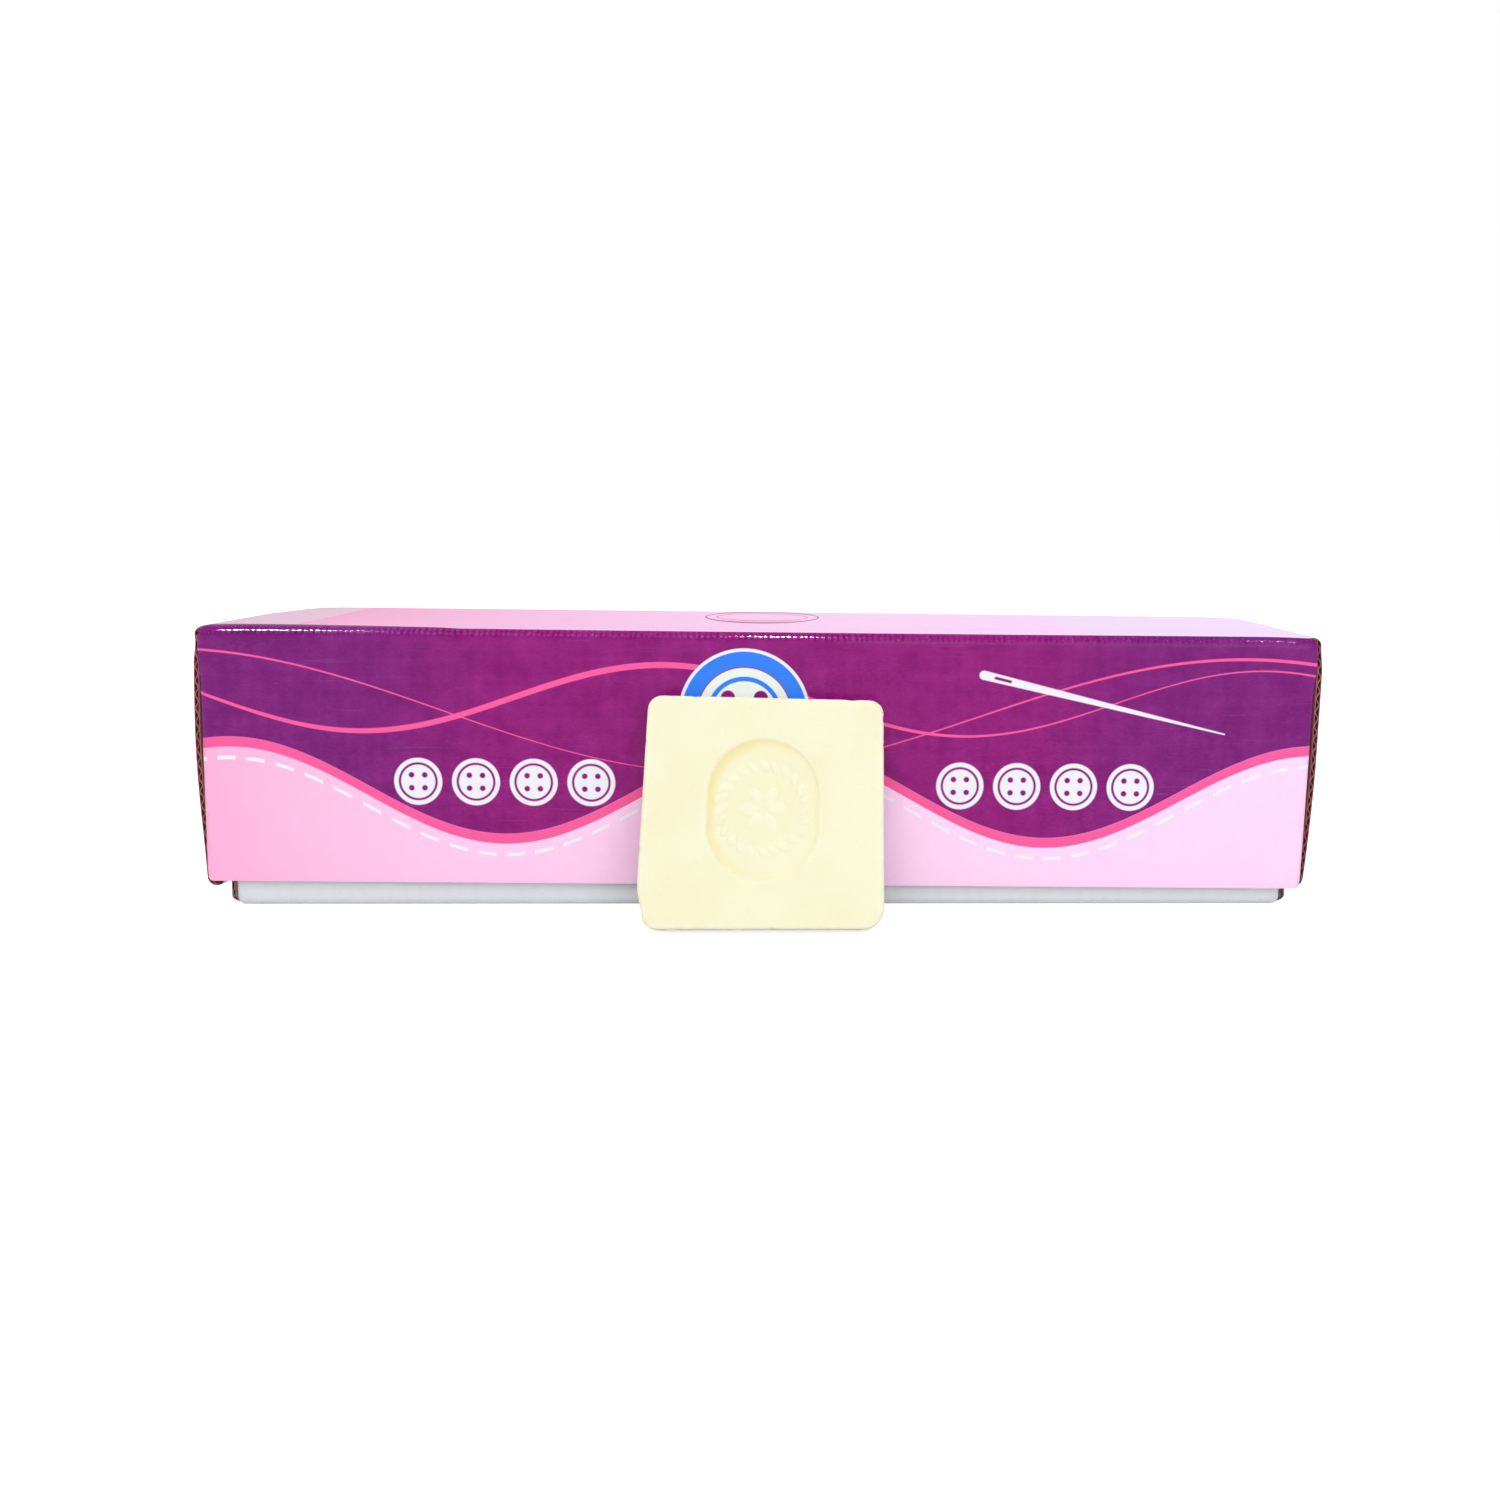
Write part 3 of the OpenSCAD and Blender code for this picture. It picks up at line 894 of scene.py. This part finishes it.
def wall_plan(half, step=PANEL_STEP):
    """A long wall at -Y with its folds and ears in plan. Each station has a point, a way out, a foot, a top
    and a run."""
    fold_x, fold_y = half.ear_x - FOLD_R, FOLD_R - half.side_y
    tip = EAR_L - half.side_y
    draw = (tip - fold_y) * EAR_TAPER
    arc = FOLD_R * math.pi / 2
    xs = spaced(0, fold_x, step) if step != PANEL_STEP else [x for x in half.wall_xs if x > -SAME_POINT]
    right = [((x, -half.side_y), (0, -1), FOLD_R, half.wall_h, x) for x in xs]
    for i, (c, s) in enumerate(turned(270, 360)[1:], 1):
        x = fold_x + FOLD_R * c
        missed = max(0.0, CORNER_CUT - (half.ear_x - x))
        top = half.wall_h - CORNER_CUT + math.sqrt(CORNER_CUT ** 2 - missed ** 2)
        right.append(((x, fold_y + FOLD_R * s), (c, s), FOLD_R, top, fold_x + arc * i / FOLD_STEPS))
    for y in spaced(fold_y, tip, min(step, EAR_STEP))[1:]:
        along = y - fold_y
        inset = draw * along / (tip - draw - fold_y) + max(0.0, y - (tip - draw)) * EAR_TIP_SLOPE
        foot, top = FOLD_R + inset, half.ear_top - inset
        right.append(((half.ear_x, y), (1, 0), foot, top, fold_x + arc + along))
    left = [((-p[0], p[1]), (-w[0], w[1]), foot, top, -run) for p, w, foot, top, run in reversed(right[1:])]
    return left + right


def end_profile(half, step=PANEL_STEP):
    """The +X end wall in profile, from its fold over the roll to the inner ply's foot. Each station has
    a point, a way out, half a width and a run."""
    x_c, roll_x, roll_z = half.end_x - FOLD_R, half.end_x - half.roll_r, half.end_h - half.roll_r
    stations, run = [], 0.0
    for c, s in turned(270, 360):
        stations.append((x_c + FOLD_R * c, FOLD_R + FOLD_R * s, c, s))
    neck = spaced(FOLD_R, NECK_SPAN[1], min(step, NECK_STEP))[1:]
    stations += [(half.end_x, z, 1, 0) for z in neck + spaced(NECK_SPAN[1], roll_z, step)[1:]]
    for c, s in turned(0, 180, 2 * FOLD_STEPS)[1:]:
        stations.append((roll_x + half.roll_r * c, roll_z + half.roll_r * s, c, s))
    for z in reversed(spaced(BOARD + PLY_GAP, roll_z, step)[:-1]):
        stations.append((half.inner_x, z, -1, 0))
    found = []
    for i, (x, z, nx, nz) in enumerate(stations):
        if i:
            run += math.dist((x, z), stations[i - 1][:2])
        spread = min(half.flap_half(z), half.base_half) if nx < 0 else half.flap_half(z)
        found.append(((x, z), (nx, nz), spread, run))
    return found


def heights(foot, top):
    """Rows up a wall, closer together near its raw edge, with each row's distance from that edge."""
    rise = top - CRUSH_REACH - foot
    low = [foot + rise * (i / WALL_ROWS) ** WALL_CROWDING for i in range(WALL_ROWS)]
    return [(z, top - z) for z in low + [top - d for d in reversed(EDGE_ROWS)]]


# Where a patch is laid, as mirrorings in X and Y
ONCE = ((1, 1),)
BOTH_SIDES = ((1, 1), (1, -1))
BOTH_ENDS = ((1, 1), (-1, 1))
CORNERS = BOTH_SIDES + ((-1, 1), (-1, -1))


def lay_walls(sheet, half):
    """The long walls with their ears, and the folds at their feet."""
    sheet.patch([[((x, y, z), (nx, ny, 0), run, cut) for z, cut in heights(foot, top)]
                 for (x, y), (nx, ny), foot, top, run in wall_plan(half)], BOTH_SIDES)
    fold = [(-half.base_half - FOLD_R * c, FOLD_R - FOLD_R * s, (0, -c, -s)) for c, s in turned(0, 90)]
    sheet.patch([[((x, y, z), way, x, WHOLE) for y, z, way in fold] for x in half.wall_xs], BOTH_SIDES)


def lay_base(sheet, half):
    """The base, with its raw edges beside the end flaps and its slots for the tabs."""
    ys, xs = half.base_ys(), half.base_xs()

    def solid(i, j):
        x, y = (xs[i] + xs[i + 1]) / 2, (ys[j] + ys[j + 1]) / 2
        in_x = half.inner_x - PLY_GAP < abs(x) < half.inner_x + BOARD + PLY_GAP
        return not (half.slots and in_x and abs(abs(y) - TAB_OFFSET) < TAB_W / 2 + 2 * PLY_GAP)

    def cut(x, y):
        return half.base_half - abs(y) if abs(x) > half.ear_x - 1 * MM else WHOLE

    sheet.patch([[((x, y, 0), (0, 0, -1), x, cut(x, y)) for y in ys] for x in xs], ONCE, solid)


def lay_ends(sheet, half):
    """The rolled end walls, and the tabs at the foot of their inner plies."""
    ys = half.base_ys()
    sheet.patch([[((x, y * spread / half.base_half, z), (nx, 0, nz), half.end_x + run,
                   spread * (1 - abs(y) / half.base_half)) for y in ys]
                 for (x, z), (nx, nz), spread, run in end_profile(half)], BOTH_ENDS)
    if half.slots:
        sheet.patch([[((half.inner_x, y, z), (-1, 0, 0), half.end_x, WHOLE) for y in ys]
                     for z in (BOARD + PLY_GAP, PLY_GAP)], BOTH_ENDS,
                    lambda i, j: abs(abs((ys[j] + ys[j + 1]) / 2) - TAB_OFFSET) < TAB_W / 2)


def lay_corners(sheet, half):
    """The rounded corners where three folds meet."""
    centre = Vector((half.ear_x - FOLD_R, -half.base_half, FOLD_R))
    around = turned(0, 90)
    directions = [[(cf * s, -cf * c, -sf) for cf, sf in around] for c, s in around]
    sheet.patch([[(centre + FOLD_R * Vector(d), d, half.ear_x, WHOLE) for d in row] for row in directions],
                CORNERS, lambda i, j: i + j < half.corner_reach)


def lay_out(half):
    """The whole half as one sheet."""
    sheet = Sheet(half)
    for lay in (lay_walls, lay_base, lay_ends, lay_corners):
        lay(sheet, half)
    return sheet


def lay_fluting(half):
    """The middle of the board along its raw edges, as ribbons finely divided along the flutes' waves."""
    sheet = Sheet(half)
    step = FLUTE_PITCH / FLUTE_STEPS
    cuts = FLUTE_ROWS[::-1]
    sheet.patch([[((x, y, top - d), (nx, ny, 0), run, d) for d in cuts]
                 for (x, y), (nx, ny), foot, top, run in wall_plan(half, step)], BOTH_SIDES)
    sheet.patch([[((x, d - spread, z), (nx, 0, nz), run, d) for d in cuts]
                 for (x, z), (nx, nz), spread, run in end_profile(half, step)], CORNERS)
    return sheet


def link(name, data):
    """A new object in the scene."""
    piece = bpy.data.objects.new(name, data)
    bpy.context.scene.collection.objects.link(piece)
    return piece


def finished(piece):
    """Turns a piece with its modifiers into a plain mesh."""
    graph = bpy.context.evaluated_depsgraph_get()
    data = bpy.data.meshes.new_from_object(piece.evaluated_get(graph))
    data.name = piece.name
    piece.modifiers.clear()
    piece.data = data
    return piece


def made_real(tree, shape, given, out):
    """Ends a tree: its shape is smoothed, made real and given its material."""
    smooth = new_node(tree, "GeometryNodeSetShadeSmooth", Geometry=shape)
    real = new_node(tree, "GeometryNodeRealizeInstances", Geometry=smooth.outputs[0])
    painted = new_node(tree, "GeometryNodeSetMaterial", Geometry=real.outputs[0],
                       Material=given.outputs["Material"])
    tree.links.new(painted.outputs[0], out.inputs[0])
    return tree


def fluting_tree():
    """Geometry nodes that press a flat ribbon into waves, which are lower where the board has less room."""
    tree, given, out = new_group("fluting", [
        ("Ribbon", "Geometry"),
        ("Pitch", "Float"),
        ("Rise", "Float"),
        ("Material", "Material"),
    ], [("Fluting", "Geometry")], "Geometry")

    def attribute(name, kind):
        node = tree.nodes.new("GeometryNodeInputNamedAttribute")
        node.data_type = kind
        return fed(tree, node, Name=name).outputs["Attribute"]

    turns = Field(tree, attribute("run", "FLOAT")) * math.tau / Field(tree, given.outputs["Pitch"])
    way = tree.nodes.new("ShaderNodeVectorMath")
    way.operation = "SCALE"
    tree.links.new(attribute("room", "FLOAT_VECTOR"), way.inputs[0])
    fed(tree, way, Scale=turns.sine() * Field(tree, given.outputs["Rise"]))
    moved = new_node(tree, "GeometryNodeSetPosition", Geometry=given.outputs["Ribbon"],
                     Offset=way.outputs[0])
    return made_real(tree, moved.outputs[0], given, out)


def set_inputs(modifier, **values):
    """Sets a geometry nodes modifier's inputs by their names."""
    for item in modifier.node_group.interface.items_tree:
        label = item.name.replace(" ", "_")
        if item.in_out == "INPUT" and label in values:
            modifier[item.identifier] = values[label]


def fluted(name, half, tree, material):
    """The waved medium of a half, where its raw edges show it."""
    piece = link(name, lay_fluting(half).ribbon(name))
    wave = piece.modifiers.new("wave", "NODES")
    wave.node_group = tree
    set_inputs(wave, Pitch=FLUTE_PITCH, Rise=BOARD / 2 - LINER - MEDIUM / 2, Material=material)
    shell = piece.modifiers.new("thickness", "SOLIDIFY")
    shell.thickness = MEDIUM
    shell.offset = 0
    return finished(piece)


# The chalks

def rounded(inset):
    """A chalk's outline drawn in by an inset, as points round its middle."""
    points = []
    for cx, cz, r, start in ((1, 1, CHALK_TOP_R, 0), (-1, 1, CHALK_TOP_R, 90),
                             (-1, -1, CHALK_FOOT_R, 180), (1, -1, CHALK_FOOT_R, 270)):
        middle_x, middle_z = (CHALK_W / 2 - r) * cx, (CHALK_H / 2 - r) * cz
        for c, s in turned(start, start + 90, 12):
            points.append((middle_x + (r - inset) * c, middle_z + (r - inset) * s))
    return points


def racetrack():
    """The oval recess's outline: two half circles apart."""
    r, reach = OVAL_W / 2, (OVAL_H - OVAL_W) / 2
    return [(r * c, r * s + apart + OVAL_UP) for start, apart in ((0, reach), (180, -reach))
            for c, s in turned(start, start + 180, 48)]


def radii(points, around):
    """How far an outline lies from its middle in each of a number of directions."""
    ring = np.array(sorted(points, key=lambda p: math.atan2(p[1], p[0])))
    ring = np.vstack((ring, ring[:1]))
    steps = np.linspace(0, len(ring) - 1, OUTLINE_STEPS)
    xs = np.interp(steps, range(len(ring)), ring[:, 0])
    zs = np.interp(steps, range(len(ring)), ring[:, 1])
    found = np.unwrap(np.arctan2(zs, xs))
    wanted = np.linspace(-math.pi, math.pi, around, endpoint=False)
    return np.interp(wanted, found, np.hypot(xs, zs), period=math.tau)


def chalk_rings(around, rows):
    """A crisp chalk's rings, each as its distance from the middle all round and its depth. They run from
    the middle of the back, round the edge, over the face and into the recess."""
    edge, rim, oval = (radii(outline, around) for outline in (rounded(0), rounded(BEVEL_W), racetrack()))
    brim = oval + RECESS_WALL[0][0] * MM + BRIM_OUT
    floor = oval + RECESS_WALL[-1][0] * MM
    bevel = turned(90, 0, BEVEL_STEPS)
    rings = [(edge * t, 0.0) for t in np.linspace(BACK_HUB, BACK_REACH, rows)]
    rings += [(rim + (edge - rim) * c, -BEVEL_D * (1 - s)) for c, s in bevel]
    rings += [(edge, -y) for y in np.linspace(BEVEL_D, CHALK_T - BEVEL_D, 5)[1:-1]]
    rings += [(rim + (edge - rim) * c, BEVEL_D * (1 - s) - CHALK_T) for c, s in reversed(bevel)]
    rings += [(rim + (brim - rim) * t, -CHALK_T) for t in np.linspace(0, 1, rows + 2)[1:]]
    rings += [(oval + out * MM, RECESS_D * deep - CHALK_T) for out, deep in RECESS_WALL]
    return rings + [(floor * t, RECESS_D - CHALK_T) for t in np.linspace(1, FLOOR_HUB, rows)[1:]]


def chalk_mesh(name, around, rows, seed):
    """A pressed chalk about its own middle: x across, z up, its back at y = 0 and its face at -y."""
    rings = chalk_rings(around, rows)
    angles = np.linspace(-math.pi, math.pi, around, endpoint=False)
    points = [(0, 0, CHALK_H / 2)]
    for ring, depth in rings:
        for angle, r in zip(angles, ring):
            points.append((r * math.cos(angle), depth, CHALK_H / 2 + r * math.sin(angle)))
    points.append((0, RECESS_D - CHALK_T, CHALK_H / 2))
    faces = []
    last = 1 + (len(rings) - 1) * around
    for j in range(around):
        k = (j + 1) % around
        faces.append((0, 1 + j, 1 + k))
        faces.append((last + j, len(points) - 1, last + k))
        for a in range(1, last, around):
            faces.append((a + j, a + around + j, a + around + k, a + k))
    middle = Vector((0, -CHALK_T / 2, CHALK_H / 2))
    data = bpy.data.meshes.new(name)
    data.from_pydata([worn(Vector(p), middle, seed) for p in points], [], faces)
    shift = Vector((seed * 0.37, seed * 0.11, 0))
    # The recess's painted shade, kept at each point
    keep_numbers(data, "recess_wall", [painted_recess_shade(p) for p in points])
    keep_numbers(data, "edge", [max(0.0, 1 + past_edge(p) / EDGE_REACH) for p in points])
    keep_vectors(data, "own_place", [Vector(p) + shift for p in points])
    made = bmesh.new()
    made.from_mesh(data)
    bmesh.ops.recalc_face_normals(made, faces=made.faces)
    made.to_mesh(data)
    made.free()
    data.shade_smooth()
    return data


def painted_recess_shade(p):
    """Painted shade in the recess, in yellow: most on the upper left of its wall and floor, and none outside
    it.
    """
    up = p[2] - CHALK_H / 2 - OVAL_UP
    past = math.copysign(max(0.0, abs(up) - (OVAL_H - OVAL_W) / 2), up)
    reach = math.hypot(p[0], past)
    if reach < 1 * MM:
        return 0.0
    inside = OVAL_W / 2 - reach
    band = eased(inside, *RECESS_SHADE_IN) * (1 - eased(inside, *RECESS_SHADE_OUT))
    return band * min(1.0, max(0.1, 0.35 - 0.6 * p[0] / reach + 0.35 * past / reach))


def past_edge(p):
    """How far a point lies past a chalk's outline. It is below 0 inside."""
    return max(abs(p[0]) - CHALK_W / 2, abs(p[2] - CHALK_H / 2) - CHALK_H / 2)


def worn(p, middle, seed):
    """Where a point of the crisp chalk lies after pressing and handling: edges chip and a face is uneven."""
    side = past_edge(p)
    near_edge = max(0.0, 1 + side / WEAR_REACH)
    at = p / MM + Vector((seed * 17.3, 0, seed * 5.1))
    chip = sum(deep * max(0.0, noise.noise(at * bumps) - level) for bumps, level, deep in CHIPS)
    inward = middle - p
    inward.y *= 0.6
    inward.normalize()
    moved = p + inward * (near_edge ** 2 * (chip + EDGE_RUB) * MM)
    dent = (0.5 + 0.5 * noise.noise(at * DENT_BUMPS + DENT_PLACE)) * DENT
    inner = min(1.0, max(0.0, -side / DENT_REACH))
    moved.y -= math.copysign(dent * inner, p.y - middle.y)
    return moved


def pressed_ring_tree():
    """Geometry nodes for a ring of low pressed beads, each turned to lie along its own radius."""
    sizes = ("Bead Length", "Bead Width", "Bead Height")
    tree, given, out = new_group("pressed_ring", [
        ("Mesh", "Geometry"),
        ("Count", "Int"),
        *((label, "Float") for label in ("Radius",) + sizes + ("Twist",)),
        ("Material", "Material"),
    ], [("Ring", "Geometry")], "Geometry")
    circle = new_node(tree, "GeometryNodeMeshCircle", Vertices=given.outputs["Count"],
                      Radius=given.outputs["Radius"])
    bead = new_node(tree, "GeometryNodeMeshUVSphere", Segments=12, Rings=6, Radius=0.5)
    align = new_node(tree, "FunctionNodeAlignEulerToVector",
                     Vector=tree.nodes.new("GeometryNodeInputPosition").outputs[0])
    align.axis = "X"
    align.pivot_axis = "Z"
    twist = new_node(tree, "ShaderNodeCombineXYZ", Z=given.outputs["Twist"])
    turn = new_node(tree, "FunctionNodeRotateEuler", Rotation=align.outputs[0], Rotate_By=twist.outputs[0])
    turn.space = "LOCAL"
    size = tree.nodes.new("ShaderNodeCombineXYZ")
    for label, socket in zip(sizes, size.inputs):
        tree.links.new(given.outputs[label], socket)
    many = new_node(tree, "GeometryNodeInstanceOnPoints", Points=circle.outputs["Mesh"],
                    Instance=bead.outputs["Mesh"], Rotation=turn.outputs[0], Scale=size.outputs[0])
    return made_real(tree, many.outputs[0], given, out)


def pressed_ring(name, tree, material, **sizes):
    """A ring of beads in the recess of a chalk that stands about its own middle."""
    piece = link(name, bpy.data.meshes.new(name))
    ring = piece.modifiers.new("ring", "NODES")
    ring.node_group = tree
    set_inputs(ring, Material=material, **sizes)
    finished(piece)
    middle = Vector((0, RECESS_D + BEAD_SUNK - CHALK_T, CHALK_H / 2 + OVAL_UP))
    stand = Matrix.Translation(middle) @ Matrix.Rotation(math.pi / 2, 4, "X")
    piece.data.transform(stand)
    for label in ("recess_wall", "edge"):
        keep_numbers(piece.data, label, [0.0] * len(piece.data.vertices))
    keep_vectors(piece.data, "own_place", [v.co for v in piece.data.vertices])
    return piece


def lean_of(node):
    """How far a chalk leans back, from the way its back faces."""
    back = max((p for p in frame["nodes"][node].data.polygons if p.normal.y > 0.5), key=lambda p: p.area)
    return math.atan2(-back.normal.z, back.normal.y)


def leaning_place():
    """Where the chalk in front stands. One of its corners is high, so it leans back a little less."""
    low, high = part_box("sample_chalk")
    lean = lean_of("sample_chalk")
    back_y, foot_z = high.y - (CHALK_H - BEVEL_W) * math.sin(lean), -BEVEL_D * math.sin(lean)
    foot = Vector(((low.x + high.x) / 2, back_y, foot_z))
    return Matrix.Translation(foot) @ Matrix.Rotation(LEANS_LESS - lean, 4, "X")


def out_of_true(data):
    """Gives the chalk in front its own slightly uneven outline."""
    for vert in data.vertices:
        x, _, z = vert.co / MM
        t = z / (CHALK_H / MM)
        off = (x + CHALK_W / MM / 2) ** 2 + (z - CORNER_UP) ** 2
        x += CORNER_RUB * math.exp(-off / CORNER_SPREAD)
        vert.co.x = (x * (FOOT_WIDER - NARROWING * t) + FOOT_SHIFT + SHIFTING * t) * MM
        vert.co.z = (z + (TOP_UP - LEFT_UP * x) * t) * MM


def row_place(node):
    """Where a chalk of the row stands, turned to face along the carton."""
    low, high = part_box(node)
    return Matrix.Translation((low.x, (low.y + high.y) / 2, low.z)) @ Matrix.Rotation(math.pi / 2, 4, "Z")


# Building the object
board_paper = paper_group()
scuffs = wear_group()

lid_mount = next(m for m in frame["record"]["mounts"] if m["name"] == "lid_top")
lid_tilt = math.atan2(lid_mount["axis"][0], lid_mount["axis"][2])
lid_to_part = Matrix.Translation(lid_mount["pos_m"]) @ Matrix.Rotation(lid_tilt, 4, "Y") \
    @ Matrix.Rotation(math.pi, 4, "X")

lid = Half("lid", lid_to_part.inverted())
lid.tilt = lid_tilt
lid.used = True
lid.crush_depth = LID_CRUSH
lid.corner_reach = LID_CORNER_REACH
tray = Half("tray", Matrix.Identity(4))
tray.slots = True

print_face = lid_print(lid)
coated = board_face("coated_board", COATED_WHITE, 0.5, ridge=0.7, blotch=0.5, fibre=0.5, mottle=0.12)
kraft = board_face("kraft_liner", KRAFT, 0.85, ridge=1.0, blotch=0.8, fibre=1.6, mottle=0.35)
lid_raw = torn_face("raw_edge", RAW_EDGE, 0.4)
lid_medium = torn_face("fluting_paper", FLUTE_BROWN)
tray_raw = torn_face("tray_raw_edge", TRAY_RAW_EDGE)
tray_medium = torn_face("tray_fluting_paper", TRAY_FLUTE)
chalk_material = chalk_face()
fluting = fluting_tree()


def board_half(name, half, face, raw, medium):
    """Makes a carton half's three pieces, its face, lining and fluting, which all ride on its body."""
    sheet = lay_out(half)
    outside = link(name + "_face", sheet.shell(name + "_face", 0.0, LINER, face, raw, raw))
    inside = link(name + "_lining", sheet.shell(name + "_lining", BOARD - LINER, BOARD, raw, kraft, raw))
    middle = fluted(name + "_fluting", half, fluting, medium)
    for piece in (outside, inside, middle):
        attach(piece, name)
    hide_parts(name)


board_half("tray", tray, coated, tray_raw, tray_medium)
board_half("lid", lid, print_face, lid_raw, lid_medium)

beads = pressed_ring_tree()
front = link("leaning_chalk", chalk_mesh("leaning_chalk", *FINE_CHALK, seed=1))
front.data.materials.append(chalk_material)
rope = pressed_ring("leaning_chalk_rope", beads, chalk_material, **ROPE, **ROPE_BEAD)
rosette = pressed_ring("leaning_chalk_rosette", beads, chalk_material, **ROSETTE, **ROSETTE_BEAD)
for piece in (front, rope, rosette):
    out_of_true(piece.data)
    piece.data.transform(leaning_place())
    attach(piece, "sample_chalk")
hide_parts("sample_chalk")

row = sorted(n for n in frame["nodes"] if n.startswith("chalk_"))
for seed, node in enumerate(row, 2):
    piece = link("row_" + node, chalk_mesh("row_" + node, *ROW_CHALK, seed))
    piece.data.materials.append(chalk_material)
    piece.data.transform(row_place(node))
    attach(piece, node)
    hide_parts(node)


# The studio

def seen_directly(tree):
    """1 for what the camera sees straight or in a reflection, 0 for the light that the surroundings give."""
    path = tree.nodes.new("ShaderNodeLightPath").outputs
    rays = [Field(tree, path[name]) for name in ("Is Camera Ray", "Is Glossy Ray", "Is Transmission Ray")]
    return (rays[0] + rays[1] + rays[2]).at_most(1.0)


def lay_floor():
    """A white floor that keeps the shadow."""
    data = bpy.data.meshes.new("floor")
    square = (-1, -1), (1, -1), (1, 1), (-1, 1)
    data.from_pydata([(x * FLOOR_REACH, y * FLOOR_REACH, 0) for x, y in square], [], [(0, 1, 2, 3)])
    floor = link("floor", data)
    material, tree, shader, _ = new_material("white_floor", 0.9, Base_Color=(FLOOR_GREY,) * 3 + (1,),
                                             Specular_IOR_Level=0.0, Emission_Color=WHITE)
    fed(tree, shader, Emission_Strength=seen_directly(tree) * FLOOR_GLOW)
    data.materials.append(material)


def light_world():
    """A white surround that gives less light than it shows."""
    world = bpy.data.worlds.new("surround")
    bpy.context.scene.world = world
    world.use_nodes = True
    tree = world.node_tree
    strength = seen_directly(tree) * WORLD_GLOW + WORLD_LIGHT
    fed(tree, tree.nodes["Background"], Color=WHITE, Strength=strength)


def hang_lamps():
    """Large soft lamps, and small ones that only make glints."""
    for name, (place, size, watts) in (SOFT_LAMPS | GLINT_LAMPS).items():
        light = bpy.data.lights.new(name, "AREA")
        light.shape = "RECTANGLE"
        light.size, light.size_y = size
        light.energy = watts
        lamp = link(name, light)
        lamp.location = place
        lamp.rotation_euler = (LAMP_AIM - Vector(place)).to_track_quat("-Z", "Y").to_euler()
        lamp.visible_diffuse = name not in GLINT_LAMPS


set_camera()
lay_floor()
light_world()
hang_lamps()
bpy.context.scene.view_settings.view_transform = "Standard"
